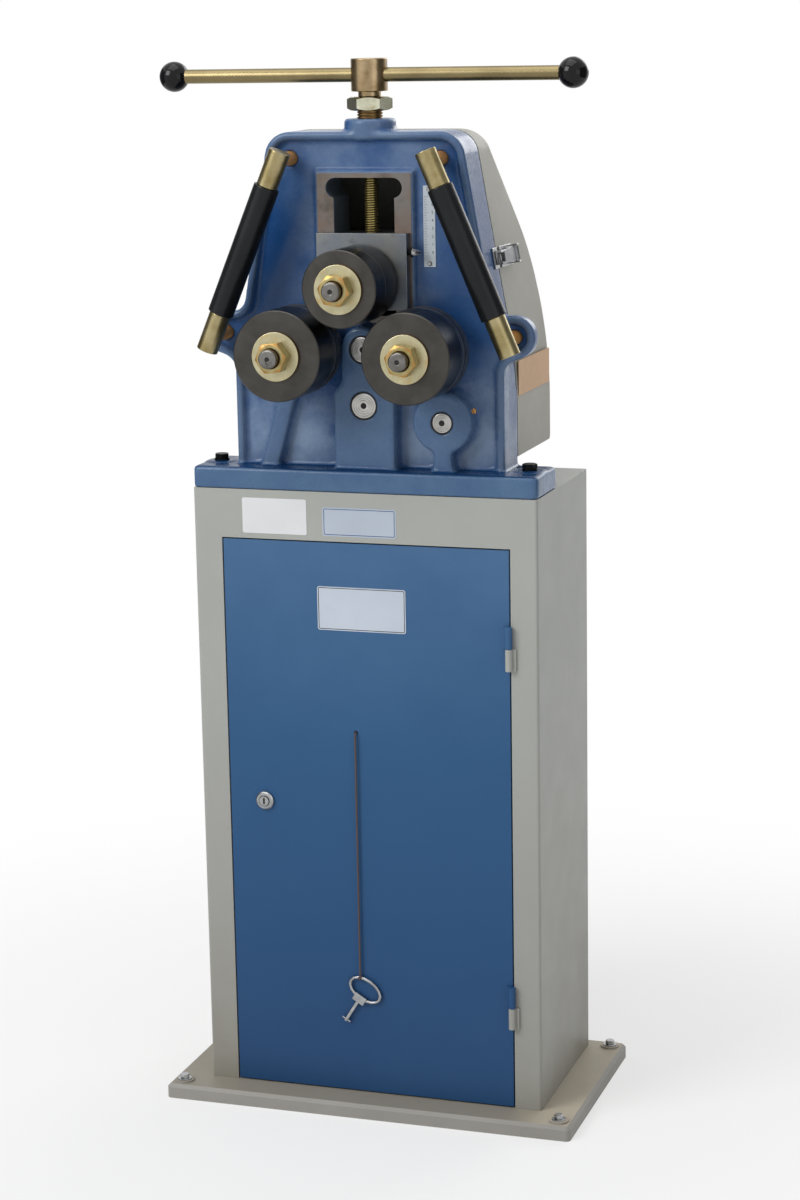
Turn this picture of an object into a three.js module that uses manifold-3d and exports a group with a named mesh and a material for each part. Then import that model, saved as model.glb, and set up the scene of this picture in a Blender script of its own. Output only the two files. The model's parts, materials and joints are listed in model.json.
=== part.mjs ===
// Ring roller: a manual three-roll ring bending machine on a cabinet stand.
// Lengths are millimetres. x points to the operator's right, y away from the operator, z up.
// The origin lies on the floor under the middle of the cabinet.
import * as THREE from "three";
import { mergeVertices } from "three/addons/utils/BufferGeometryUtils.js";
import Module from "manifold-3d";

const wasm = await Module();
wasm.setup();

// Clearances
const seatGap = 0.3;
const cutOverrun = 3;

// Base plate
const baseMargin = 49.3;
const baseDepth = 314.3;
const baseThickness = 19.4;
const baseForward = 13.3;
const baseCornerRadius = 6.6;
const baseEdgeRadius = 4.4;
const baseBoltInset = 19.3;
const baseBoltHoleRadius = 6;
const baseWasherRadius = 13;
const baseWasherThickness = 2.5;

// Cabinet
const cabinetDepth = 250.5;
const cabinetHeight = 811.9;
const cabinetSheet = 2;
const leftStileWidth = 38.2;
const rightStileWidth = 36;
const topRailHeight = 64.1;
const doorwayReturnDepth = 16.6;

// Door
const doorGap = 1.7;
const doorSheet = 1.5;
const doorReturnDepth = 15.5;
const cordHoleX = -14.6;
const cordHoleBelowTop = 251.8;
const cordHoleRadius = 2.5;

// Lift-off hinges
const hingeHalfLength = 28.7;
const hingeBarrelRadius = 4.65;
const hingePinRadius = 2.75;
const hingeLeafWidth = 8.8;
const hingeLeafThickness = 3.3;
const hingeStandOff = 5.1;
const hingeAxisInset = 1.45;
const upperHingeBelowTop = 128.1;
const lowerHingeAboveBase = 139.9;

// Cam lock
const lockFromDoorEdge = 48.6;
const lockAboveBase = 395.9;
const lockFlangeRadius = 12.2;
const lockFlangeThickness = 4.95;
const lockBodyRadius = 9.9;
const lockBodyLength = 17.7;
const lockPlugRadius = 6.6;
const lockPlugProud = 1.1;
const camLength = 64.1;
const camWidth = 13.3;
const camThickness = 3.3;

// Key and its cord
const cordRadius = 1.4;
const cordStandOff = 4;
const cordTailLength = 5.5;
const cordHoleDrop = 6.6;
const cordEndAboveHang = 3.75;
const keyHangZ = 181.7;
const keyWireRadius = 2;
const keyBowHalfLength = 25;
const keyBowHalfWidth = 16;
const keyHangAside = 14.5;
const keyBalanceDrop = 12.3;
const keyHubTop = 9;
const keyHubLength = 11;
const keyHubWidth = 17.3;
const keyHubThickness = 6.6;
const keyStemEnd = 53;
const keyStemRadius = 2.85;
const keyPinRadius = 1.4;
const keyPinLength = 12.2;
const keyPinInset = 2;

// Head frame
const frameHeight = 454;
const frameHalfWidth = 180.6;
const footLedge = 51.3;
const footDepth = 95.4;
const footThickness = 28.4;
const footCornerRadius = 6.6;
const frameFrontSetBack = 30.3;
const panelRecess = 8.8;
const rimWidth = 9.9;
const topCornerRadius = 33.1;
const upperStudX = 100;
const lowerStudPastFlank = 13.3;
const lowerStudHeight = 198.8;
const earRadius = 27.6;
const earDepth = 24.3;
const flankFootInset = 16;
const flankFootAboveStud = 44.2;
const earLowDegrees = -75;
const earHighDegrees = 95;
const earFilletDrop = 48.6;
const kneeBelowStud = 33.8;
const kneeBendLength = 66.3;
const castEdge = 2.75;

// Top boss, window and machined faces of the frame
const screwSetBack = 62.3;
const bossRadius = 33.1;
const bossHeight = 26;
const bossProud = 15.5;
const windowPadHalfWidth = 65.2;
const windowPadProud = 7.7;
const windowPadTopBelowTop = 48.6;
const windowNeckHalfWidth = 40.4;
const windowNeckBottomAboveStand = 223.6;
const windowPadBelowNeck = 8.8;
const windowLobeHalfLength = 38.2;
const windowLobeRadius = 12.6;
const windowLobeBelowTop = 69.6;

// Rollers and their shafts
const rollerHalfSpacing = 84.5;
const lowerAxisAboveStand = 182.1;
const upperAxisAboveStand = 266.6;
const lowerRollerRadius = 57.4;
const upperRollerRadius = 48.6;
const rollerLength = 82.8;
const rollerChamfer = 1.5;
const rollerPadGap = 2.2;
const frontRingShare = 0.46;
const shaftRadius = 16;
const shaftNoseRadius = 12;
const shaftNoseLength = 33.1;
const centreHoleRadius = 3.3;
const shaftCollarRadius = 24.3;
const washerRadius = 31;
const washerThickness = 4.4;
const nutAcrossFlats = 36;
const nutThickness = 17.5;
const bushWall = 6;
const rollerBossRadius = 44.2;
const rollerBossProud = 22.1;
const clipRadius = 20.5;
const clipThickness = 2;

// Gears
const gearModule = 3.25;
const rollerGearTeeth = 24;
const idlerTeeth = 28;
const pinionTeeth = 16;
const intermediateTeeth = 40;
const driveTeeth = 25;
const driveAxisDrop = 19.3;
const gearBacklash = 0.25;
const frontGearGap = 14.4;
const gearFaceWidth = 26;
const gearLayerGap = 4.4;
const gearHubRadius = 25.4;
const idlerShaftRadius = 16.5;
const intermediateShaftRadius = 16.5;
const driveShaftRadius = 13;
const padProud = 25.4;
const shaftEndRecess = 1;

// Raised pads and rib on the front of the frame
const centrePadHalfWidth = 40.9;
const centrePadShoulderDrop = 54.1;
const centreNeckHalfWidth = 29.8;
const centreNeckDrop = 39.8;
const drivePadRadius = 39.8;
const driveNeckHalfWidth = 12.2;
const ribTopX = 102.7;
const ribFootX = 137;
const ribWidth = 24.3;
const ribProud = 15.5;

// Foot bolts
const footBoltInset = 22.6;
const footBoltRadius = 5;
const footBoltAcrossFlats = 17;
const footBoltHeadHeight = 6.4;
const footBoltNutHeight = 8.4;
const footWasherRadius = 10;
const footWasherThickness = 2;
const footBossRadius = 20;
const footBossHeight = 1.5;

// Rear cover
const coverSheet = 2;
const coverBendRadius = 6.6;
const coverAboveStand = 39.1;
const coverDepth = 158;
const coverTopDepth = 50.8;
const coverSlopeBelowTop = 174.5;
const coverSlopeTopDrop = 28.7;
const coverSlopeBend = 60.8;
const coverShaftHoleGap = 3.3;

// Slide
const slidePlateHalfWidth = 60.1;
const slidePlateTopAboveAxis = 61.9;
const slidePlateBottomBelowAxis = 34.2;
const slidePlateThickness = 14;
const slideNeckTopDrop = 2.2;
const slideNeckBottomRise = 3.3;
const keeperHalfWidth = 55.2;
const keeperThickness = 8.8;
const keeperBottomBelowAxis = 9.9;

// Scale and pointer
const pointerAboveAxis = 38;
const pointerStemRadius = 2.75;
const pointerStemLength = 4.4;
const pointerHeadRadius = 5.5;
const pointerHeadLength = 15.5;
const scaleGap = 16.1;
const scaleWidth = 15.5;
const scaleHeight = 101.5;
const scaleThickness = 1;
const scaleBelowPointer = 19.1;
const scaleHoleRadius = 1.8;
const scaleHoleInset = 4.4;

// Lifting screw and handle
const screwRadius = 9;
const screwEndAboveAxis = 26.5;
const bushThreadRadius = 16.5;
const bushProud = 20.4;
const lockNutAcrossFlats = 50;
const lockNutThickness = 17;
const lockNutGap = 9.9;
const hubRadius = 23.2;
const hubHeight = 40.9;
const hubNeckRadius = 14.4;
const hubNeckLength = 7.2;
const hubAboveNut = 6.6;
const barRadius = 9;
const barHalfLength = 259.6;
const ballRadius = 19.3;
const ballPastBar = 4.95;

// Side guides
const guideAxisStandOff = 40.9;
const guideBlockRadius = 13.8;
const guideRodRadius = 9;
const guideTopOverhang = 12.2;
const guideBottomOverhang = 19.9;
const guideTopBlockLength = 47.5;
const guideBottomBlockLength = 51.5;
const guideTubeRadius = 16.6;
const guideStudRadius = 9;
const guideStudSocketDepth = 11;

// Draw latches of the rear cover
const latchAboveFlankFoot = 50.1;
const latchHalfWidth = 13.3;
const latchPlate = 2;
const strikeFrontOffset = 22.1;
const strikeRearOffset = 3.3;
const strikeHookOffset = 11;
const strikeHookHeight = 5.5;
const strikeHookHalfWidth = 4.95;
const latchBaseFront = 6.6;
const latchBaseRear = 61.9;
const latchPivotOffset = 50.8;
const latchPivotHeight = 9.9;
const latchPinRadius = 2.2;
const latchBarrelRadius = 4.65;
const latchLeverHalfWidth = 8.8;
const latchArmWidth = 2.75;
const latchBarSize = 3.3;

// Crank
const crankRadius = 240;
const crankThickness = 12;
const crankWidth = 28.7;
const crankHubRadius = 22.1;
const crankHubLength = 24.3;
const crankStandOff = 6.6;
const gripPinRadius = 6.6;
const gripRadius = 16.6;
const gripLength = 116;
const gripEndRadius = 13.3;
const gripHeadRadius = 9.9;
const gripHeadThickness = 3.3;

// Facets of round surfaces, by the size of the circle
const fineFacets = 32;
const roundFacets = 20;
const smallFacets = 12;
const castSegments = 10;
const flareSegments = 8;
const tinyFacets = 8;
const cordSteps = 52;
const nutChamferShare = 0.6;

// Levels and planes that the sizes above give
const cabinetWidth = 2 * (frameHalfWidth + footLedge);
const baseWidth = cabinetWidth + 2 * baseMargin;
const standTop = baseThickness + cabinetHeight;
const cabinetFront = -cabinetDepth / 2;
const doorwayLeft = leftStileWidth - cabinetWidth / 2;
const doorwayRight = cabinetWidth / 2 - rightStileWidth;
const doorwayTop = standTop - topRailHeight;
const frameTop = standTop + frameHeight;
const footTop = standTop + footThickness;
const frameRear = cabinetFront + footDepth;
const frameFront = cabinetFront + frameFrontSetBack;
const panelFront = frameFront + panelRecess;
const lowerStudX = frameHalfWidth + lowerStudPastFlank;
const flankFootX = frameHalfWidth - flankFootInset;
const upperStudZ = frameTop - topCornerRadius;
const lowerStudZ = standTop + lowerStudHeight;
const flankFootZ = lowerStudZ + flankFootAboveStud;
const flankAngle = tangentAngle();
const screwY = cabinetFront + screwSetBack;
const bossTop = frameTop + bossProud;
const lowerAxisZ = standTop + lowerAxisAboveStand;
const upperAxisZ = standTop + upperAxisAboveStand;
const padFront = panelFront - padProud;
const rollerBossFront = panelFront - rollerBossProud;
const windowPadFront = panelFront - windowPadProud;
const slidePlateRear = windowPadFront - seatGap;
const slidePlateFront = slidePlateRear - slidePlateThickness;
const rollerRear = padFront - rollerPadGap;
const rollerFront = rollerRear - rollerLength;
const shaftNoseFront = rollerFront - shaftNoseLength;
const gearFront = frameRear + frontGearGap;
const gearRear = gearFront + gearFaceWidth;
const rearGearFront = gearRear + gearLayerGap;
const rearGearRear = rearGearFront + gearFaceWidth;
const pitchRadius = (teeth) => (teeth * gearModule) / 2;
const intermediateZ = lowerAxisZ - pitchRadius(idlerTeeth) - pitchRadius(pinionTeeth);
const driveDistance = pitchRadius(intermediateTeeth) + pitchRadius(driveTeeth);
const driveX = Math.sqrt(driveDistance ** 2 - driveAxisDrop ** 2);
const driveZ = intermediateZ - driveAxisDrop;
const coverRear = frameRear + coverDepth;
const lockNutBottom = bossTop + lockNutGap;
const lockNutTop = lockNutBottom + lockNutThickness;
const hubBottom = lockNutTop + hubAboveNut;
const hubTop = hubBottom + hubHeight;
const barZ = hubTop - hubHeight / 2;
const guideY = frameFront - guideAxisStandOff;

// Finishes
const finish = (color, roughness, metalness) => {
  return new THREE.MeshStandardMaterial({ color, roughness, metalness });
};
const blueEnamel = finish(0x3d5f8c, 0.35, 0);
const greyEnamel = finish(0xa6a8a2, 0.45, 0);
const baseEnamel = finish(0x8b8880, 0.5, 0);
const yellowZinc = finish(0xb5a05a, 0.35, 1);
const brightSteel = finish(0xb9bcc0, 0.3, 1);
const groundSteel = finish(0x8a8987, 0.4, 1);
const burnishedSteel = finish(0x34363b, 0.5, 1);
const blackOxide = finish(0x1d1d1f, 0.55, 1);
const blackPlastic = finish(0x101012, 0.3, 0);
const whitePlate = finish(0xf2f3f3, 0.5, 0);
const bronze = finish(0x9a7440, 0.4, 1);
const brownCord = finish(0x5b4034, 0.9, 0);

const machine = new THREE.Group();

// Solids: booleans take geometries or solids and give a solid
function solid(shape) {
  if (!shape.isBufferGeometry) return shape;
  const bare = shape.clone();
  bare.deleteAttribute("normal");
  bare.deleteAttribute("uv");
  const merged = mergeVertices(bare);
  const vertProperties = new Float32Array(merged.attributes.position.array);
  const triVerts = new Uint32Array(merged.index.array);
  return new wasm.Manifold(new wasm.Mesh({ numProp: 3, vertProperties, triVerts }));
}

const join = (...shapes) => shapes.map(solid).reduce((a, b) => a.add(b));
const cut = (shape, ...tools) => tools.map(solid).reduce((a, b) => a.subtract(b), solid(shape));
const common = (a, b) => solid(a).intersect(solid(b));

function geometryOf(shape) {
  if (shape.isBufferGeometry) return shape;
  const mesh = shape.getMesh();
  const geometry = new THREE.BufferGeometry();
  geometry.setAttribute("position", new THREE.BufferAttribute(mesh.vertProperties, 3));
  geometry.setIndex(new THREE.BufferAttribute(mesh.triVerts, 1));
  geometry.computeVertexNormals();
  return geometry;
}

function place(name, shape, material, parent = machine) {
  const mesh = new THREE.Mesh(geometryOf(shape), material);
  mesh.name = name;
  parent.add(mesh);
  return mesh;
}

// Moves each vertex to the value that the function gives for its coordinates
function reshape(geometry, mapping) {
  const position = geometry.attributes.position;
  for (let i = 0; i < position.count; i += 1) {
    const [x, y, z] = mapping(position.getX(i), position.getY(i), position.getZ(i));
    position.setXYZ(i, x, y, z);
  }
  return geometry;
}

// A box between two values on each axis
function block([left, right], [front, rear], [bottom, top]) {
  const pick = (side, low, high) => (side < 0 ? low : high);
  const unit = new THREE.BoxGeometry(1, 1, 1);
  return reshape(unit, (x, y, z) => [pick(x, left, right), pick(y, front, rear), pick(z, bottom, top)]);
}

// Extrudes a flat outline; a bevel rounds both ends, and the end planes land exactly on low and high
function extruded(outline, low, high, bevel, curveSegments) {
  const depth = high - low - 2 * bevel;
  const bevels = { bevelThickness: bevel, bevelSize: bevel, bevelOffset: -bevel, bevelSegments: 1 };
  const options = { depth, curveSegments, bevelEnabled: bevel > 0, ...bevels };
  const geometry = new THREE.ExtrudeGeometry(outline, options);
  const middle = depth / 2;
  const reach = middle + bevel;
  const tiny = bevel / 10 + depth / 1e4;
  const along = (z) => {
    if (z > middle + reach - tiny) return high;
    if (z < middle - reach + tiny) return low;
    return low + bevel + z;
  };
  return reshape(geometry, (x, y, z) => [x, y, along(z)]);
}

// An outline in x and y, between two levels
function slab(outline, bottom, top, bevel = 0, curveSegments = 4) {
  return extruded(outline, bottom, top, bevel, curveSegments);
}

// An outline in x and z, between two planes across y
function plate(outline, front, rear, bevel = 0, curveSegments = 6) {
  const geometry = extruded(outline, -rear, -front, bevel, curveSegments);
  return reshape(geometry, (x, y, z) => [x, -z, y]);
}

// An outline in y and z, between two planes across x
function sidePlate(outline, left, right) {
  const geometry = extruded(outline, left, right, 0, 6);
  return reshape(geometry, (x, y, z) => [z, x, y]);
}

// A profile of radius and place along y, listed from front to rear, turned about the y axis
function turned(profile, facets = roundFacets) {
  const points = profile.map(([radius, y]) => new THREE.Vector2(radius, y));
  return new THREE.LatheGeometry(points, facets);
}

const rod = (radius, front, rear, facets) =>
  turned([[0, front], [radius, front], [radius, rear], [0, rear]], facets);

const ring = (inner, outer, front, rear, facets) =>
  turned([[inner, front], [outer, front], [outer, rear], [inner, rear], [inner, front]], facets);

const upright = (geometry) => reshape(geometry, (x, y, z) => [x, -z, y]);
const sideways = (geometry) => reshape(geometry, (x, y, z) => [y, -x, z]);
const at = (geometry, x, y, z) => geometry.translate(x, y, z);

// The two ends of a span about zero, and of a cut that runs past both faces
const across = (half) => [-half, half];
const past = (low, high) => [low - cutOverrun, high + cutOverrun];

// The corner radius of a faceted bore whose flats clear what turns in it
const turningBore = (radius, facets) => (radius + seatGap) / Math.cos(Math.PI / facets);

// A ring whose two outer edges are chamfered
function chamferedRing(inner, outer, front, rear, chamfer, facets) {
  const low = outer - chamfer;
  const outside = [[low, front], [outer, front + chamfer], [outer, rear - chamfer], [low, rear]];
  return turned([[inner, front], ...outside, [inner, rear], [inner, front]], facets);
}

// A hexagon nut or bolt head along y, its corners turned down at both faces
function hexagon(acrossFlats, front, rear, bore) {
  const corner = acrossFlats / Math.sqrt(3);
  const outline = new THREE.Shape();
  for (let i = 0; i < 6; i += 1) {
    const angle = (i * Math.PI) / 3;
    const step = i === 0 ? "moveTo" : "lineTo";
    outline[step](corner * Math.cos(angle), corner * Math.sin(angle));
  }
  const flat = acrossFlats / 2;
  const chamfer = (corner - flat) * nutChamferShare;
  const side = [[corner, front + chamfer], [corner, rear - chamfer]];
  const turnedDown = turned([[0, front], [flat, front], ...side, [flat, rear], [0, rear]], smallFacets);
  const nut = common(plate(outline, front, rear), turnedDown);
  if (bore === 0) return nut;
  return cut(nut, rod(bore, ...past(front, rear)));
}

// A solid lying along y, stood up along z
const stood = (shape) => upright(geometryOf(shape));

function roundedRectangle([left, right], [low, high], radius) {
  const outline = new THREE.Shape();
  outline.absarc(right - radius, low + radius, radius, -Math.PI / 2, 0);
  outline.absarc(right - radius, high - radius, radius, 0, Math.PI / 2);
  outline.absarc(left + radius, high - radius, radius, Math.PI / 2, Math.PI);
  outline.absarc(left + radius, low + radius, radius, Math.PI, 1.5 * Math.PI);
  return outline;
}

// A slot outline with round ends, along the first axis
function stadium(halfLength, radius, centreX, centreZ) {
  const outline = new THREE.Shape();
  outline.absarc(centreX + halfLength, centreZ, radius, -Math.PI / 2, Math.PI / 2);
  outline.absarc(centreX - halfLength, centreZ, radius, Math.PI / 2, 1.5 * Math.PI);
  return outline;
}

// Moves the points of a closed outline inwards by a distance
function inset(outline, distance, divisions) {
  const points = outline.getPoints(divisions).filter((p, i, all) => {
    return p.distanceTo(all[(i + 1) % all.length]) > distance / 100;
  });
  const moved = points.map((point, i) => {
    const before = points[(i + points.length - 1) % points.length];
    const after = points[(i + 1) % points.length];
    const a = point.clone().sub(before).normalize();
    const b = after.clone().sub(point).normalize();
    const inward = new THREE.Vector2(-a.y - b.y, a.x + b.x).normalize();
    const stretch = 1 / Math.max(0.5, inward.dot(new THREE.Vector2(-a.y, a.x)));
    return point.clone().addScaledVector(inward, distance * stretch);
  });
  return new THREE.Shape(moved);
}

// The angle between the vertical and the frame's flank, which touches the round top corner
function tangentAngle() {
  const across = flankFootX - upperStudX;
  const up = upperStudZ - flankFootZ;
  return Math.atan2(across, up) - Math.asin(topCornerRadius / Math.hypot(across, up));
}

// Where two lines meet, each given by a point and a direction
function meeting([px, pz], [dx, dz], [qx, qz], [ex, ez]) {
  const step = ((qx - px) * ez - (qz - pz) * ex) / (dx * ez - dz * ex);
  return [px + step * dx, pz + step * dz];
}

// Base plate: rounded upper edge, four bolt holes
const baseFront = -baseForward - baseDepth / 2;
const baseRear = baseDepth / 2 - baseForward;
const baseLeft = -baseWidth / 2;
const baseBoltX = baseWidth / 2 - baseBoltInset;

function basePlate() {
  const outline = roundedRectangle([baseLeft, -baseLeft], [baseFront, baseRear], baseCornerRadius);
  const below = -baseEdgeRadius - cutOverrun;
  const around = [2 * baseFront, 2 * baseRear];
  const foot = block([2 * baseLeft, -2 * baseLeft], around, [2 * below, 0]);
  const washerTop = baseThickness + baseWasherThickness;
  const washers = [];
  const holes = [];
  for (const x of [-baseBoltX, baseBoltX]) {
    for (const y of [baseFront + baseBoltInset, baseRear - baseBoltInset]) {
      const washer = rod(baseWasherRadius, baseThickness - baseWasherThickness, washerTop, smallFacets);
      washers.push(at(upright(washer), x, y, 0));
      const hole = rod(baseBoltHoleRadius, below, washerTop + cutOverrun, smallFacets);
      holes.push(at(upright(hole), x, y, 0));
    }
  }
  const body = slab(outline, below, baseThickness, baseEdgeRadius, 3);
  return cut(join(body, ...washers), foot, ...holes);
}
place("base_plate", basePlate(), baseEnamel);

// Cabinet shell: sheet box, open below, with a doorway whose edges are folded in
const cabinetSide = cabinetWidth / 2;
const cabinetRear = cabinetDepth / 2;
const footBoltX = cabinetSide - footBoltInset;
const footBoltY = cabinetFront + footDepth / 2;
const footBoltHole = footBoltRadius + seatGap;

function cabinetShell() {
  const bend = 2 * cabinetSheet;
  const outside = roundedRectangle([-cabinetSide, cabinetSide], [cabinetFront, cabinetRear], bend);
  const innerSide = cabinetSide - cabinetSheet;
  const innerFront = cabinetFront + cabinetSheet;
  const inside = roundedRectangle([-innerSide, innerSide], [innerFront, -innerFront], cabinetSheet);
  const low = baseThickness - cutOverrun;
  const doorwayDepth = [cabinetFront - cutOverrun, innerFront + cutOverrun];
  const doorway = block([doorwayLeft, doorwayRight], doorwayDepth, [low, doorwayTop]);
  const hollow = slab(inside, low, standTop - cabinetSheet);
  const shell = cut(slab(outside, baseThickness, standTop), hollow, doorway);
  const fold = [cabinetFront, cabinetFront + doorwayReturnDepth];
  const foldTop = doorwayTop + cabinetSheet;
  const foldLeft = doorwayLeft - cabinetSheet;
  const foldRight = doorwayRight + cabinetSheet;
  const leftFold = block([foldLeft, doorwayLeft], fold, [baseThickness, foldTop]);
  const rightFold = block([doorwayRight, foldRight], fold, [baseThickness, foldTop]);
  const topFold = block([foldLeft, foldRight], fold, [doorwayTop, foldTop]);
  const holeLevels = past(standTop - cabinetSheet, standTop);
  const holes = [-footBoltX, footBoltX].map((x) => {
    return at(upright(rod(footBoltHole, ...holeLevels, smallFacets)), x, footBoltY, 0);
  });
  return cut(join(shell, leftFold, rightFold, topFold), ...holes);
}
place("cabinet_shell", cabinetShell(), greyEnamel);

// Door: a sheet tray that closes flush in the doorway
const doorLeft = doorwayLeft + doorGap;
const doorRight = doorwayRight - doorGap;
const doorBottom = baseThickness + doorGap;
const doorTop = doorwayTop - doorGap;
const doorInner = cabinetFront + doorSheet;
const lockX = doorLeft + lockFromDoorEdge;
const lockZ = baseThickness + lockAboveBase;
const cordHoleZ = doorwayTop - cordHoleBelowTop;

function doorPanel() {
  const depth = [cabinetFront, cabinetFront + doorReturnDepth];
  const tray = block([doorLeft, doorRight], depth, [doorBottom, doorTop]);
  const innerWidth = [doorLeft + doorSheet, doorRight - doorSheet];
  const innerDepth = [doorInner, doorInner + doorReturnDepth];
  const hollow = block(innerWidth, innerDepth, [doorBottom + doorSheet, doorTop - doorSheet]);
  const through = past(cabinetFront, doorInner);
  const lockHole = at(rod(lockBodyRadius + seatGap, ...through, smallFacets), lockX, 0, lockZ);
  const cordHole = at(rod(cordHoleRadius, ...through, tinyFacets), cordHoleX, 0, cordHoleZ);
  return cut(tray, hollow, lockHole, cordHole);
}
place("door_panel", doorPanel(), blueEnamel);

// Lift-off hinges: the cabinet half carries the pin, and the door half drops over it
const hingeX = doorwayRight - hingeAxisInset;
const hingeY = cabinetFront - hingeStandOff;

function hingeLeaf(sides, levels) {
  return block(sides, [cabinetFront - hingeLeafThickness, cabinetFront], levels);
}

function hingeRod(radius, bottom, top) {
  return at(upright(rod(radius, bottom, top, smallFacets)), hingeX, hingeY, 0);
}

function cabinetHinge(seatZ) {
  const levels = [seatZ - hingeHalfLength, seatZ];
  const pinTop = seatZ + hingeHalfLength - 2 * hingePinRadius;
  const pin = hingeRod(hingePinRadius, seatZ - hingePinRadius, pinTop);
  const leaf = hingeLeaf([hingeX, hingeX + hingeLeafWidth], levels);
  return join(hingeRod(hingeBarrelRadius, ...levels), leaf, pin);
}

function doorHinge(seatZ) {
  const levels = [seatZ + seatGap, seatZ + hingeHalfLength];
  const leaf = hingeLeaf([hingeX - hingeLeafWidth, hingeX], levels);
  const bore = hingeRod(hingePinRadius + seatGap, ...past(...levels));
  return cut(join(hingeRod(hingeBarrelRadius, ...levels), leaf), bore);
}

const hingeSeats = { upper: doorwayTop - upperHingeBelowTop, lower: baseThickness + lowerHingeAboveBase };
for (const [level, seatZ] of Object.entries(hingeSeats)) {
  place(`cabinet_hinge_${level}`, cabinetHinge(seatZ), greyEnamel);
  place(`door_hinge_${level}`, doorHinge(seatZ), blueEnamel);
}

// Cam lock, drawn unlocked: the cam stands up and turns down behind the left stile
const lockFlangeFront = cabinetFront - lockFlangeThickness;
const lockBodyRear = cabinetFront + lockBodyLength;
const camFront = lockBodyRear + doorSheet;
const lockBore = lockPlugRadius + seatGap;

function lockHousing() {
  const outside = [[lockFlangeRadius, lockFlangeFront], [lockFlangeRadius, cabinetFront]];
  const body = [[lockBodyRadius, cabinetFront], [lockBodyRadius, lockBodyRear]];
  const bore = [[lockBore, lockBodyRear], [lockBore, lockFlangeFront]];
  return turned([bore[1], ...outside, ...body, ...bore], smallFacets);
}

function lockCylinder() {
  const plug = rod(lockPlugRadius, lockFlangeFront - lockPlugProud, camFront + camThickness, smallFacets);
  const arm = roundedRectangle([-camWidth / 2, camWidth / 2], [-camWidth / 2, camLength], camWidth / 3);
  return join(plug, plate(arm, camFront, camFront + camThickness, 0, 3));
}
at(place("lock_housing", lockHousing(), brightSteel).geometry, lockX, 0, lockZ);
at(place("lock_cylinder", lockCylinder(), brightSteel).geometry, lockX, 0, lockZ);

// Key cord: through the hole in the door and straight down to the key
const cordY = cabinetFront - cordStandOff;
const cordRoute = [
  [cordHoleX, doorInner + cordTailLength, cordHoleZ],
  [cordHoleX, cabinetFront, cordHoleZ],
  [cordHoleX, cordY, cordHoleZ - cordHoleDrop],
  [cordHoleX, cordY, keyHangZ + cordEndAboveHang],
].map((point) => new THREE.Vector3(...point));

function keyCord() {
  const route = new THREE.CurvePath();
  route.add(new THREE.LineCurve3(cordRoute[0], cordRoute[1]));
  const turn = new THREE.Vector3(cordHoleX, cordY, cordHoleZ);
  route.add(new THREE.QuadraticBezierCurve3(cordRoute[1], turn, cordRoute[2]));
  route.add(new THREE.LineCurve3(cordRoute[2], cordRoute[3]));
  const section = new THREE.Shape();
  section.absarc(0, 0, cordRadius, 0, 2 * Math.PI);
  return new THREE.ExtrudeGeometry(section, { steps: cordSteps, curveSegments: 4, extrudePath: route });
}
place("key_cord", keyCord(), brownCord);

// Key: oval bow, hub, round stem and cross pin, hanging by one side of the bow
const keyWireHalfLength = keyBowHalfLength - keyWireRadius;
const keyWireHalfWidth = keyBowHalfWidth - keyWireRadius;
const keyHangUp = keyWireHalfWidth * Math.sqrt(1 - (keyHangAside / keyWireHalfLength) ** 2);
const keyTilt = Math.atan2(keyHangAside, keyHangUp + keyBalanceDrop);

function cabinetKey() {
  const bow = new THREE.Shape();
  bow.absellipse(keyHangAside, -keyHangUp, keyBowHalfLength, keyBowHalfWidth, 0, 2 * Math.PI);
  const eye = new THREE.Path();
  const eyeHalfLength = keyBowHalfLength - 2 * keyWireRadius;
  const eyeHalfWidth = keyBowHalfWidth - 2 * keyWireRadius;
  eye.absellipse(keyHangAside, -keyHangUp, eyeHalfLength, eyeHalfWidth, 0, 2 * Math.PI);
  bow.holes.push(eye);
  const oval = plate(bow, ...across(keyWireRadius), keyWireRadius / 2, tinyFacets);
  const hubTop = -keyHangUp - keyHubTop;
  const hubLeft = keyHangAside - keyHubWidth / 2;
  const hubLevels = [hubTop - keyHubLength, hubTop];
  const hub = block([hubLeft, hubLeft + keyHubWidth], across(keyHubThickness / 2), hubLevels);
  const stemEnd = -keyHangUp - keyStemEnd;
  const stem = at(upright(rod(keyStemRadius, stemEnd, hubTop, tinyFacets)), keyHangAside, 0, 0);
  const pinSpan = [keyHangAside - keyPinLength / 2, keyHangAside + keyPinLength / 2];
  const pin = at(sideways(rod(keyPinRadius, ...pinSpan, tinyFacets)), 0, 0, stemEnd + keyPinInset);
  return join(oval, hub, stem, pin);
}
const keyGroup = new THREE.Group();
keyGroup.position.set(cordHoleX, cordY, keyHangZ);
keyGroup.rotation.y = keyTilt;
machine.add(keyGroup);
place("cabinet_key", cabinetKey(), brightSteel, keyGroup);

// Outlines of the head, in x and z
const flankDown = [Math.sin(flankAngle), -Math.cos(flankAngle)];
const earLow = (earLowDegrees * Math.PI) / 180;
const earHigh = (earHighDegrees * Math.PI) / 180;

function onEar(angle) {
  return [lowerStudX + earRadius * Math.cos(angle), lowerStudZ + earRadius * Math.sin(angle)];
}

// Draws the top of the head from the right flank's foot over to the left flank's foot
function drawTop(outline) {
  outline.absarc(upperStudX, upperStudZ, topCornerRadius, flankAngle, Math.PI / 2);
  outline.absarc(-upperStudX, upperStudZ, topCornerRadius, Math.PI / 2, Math.PI - flankAngle);
  outline.lineTo(-flankFootX, flankFootZ);
}

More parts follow.
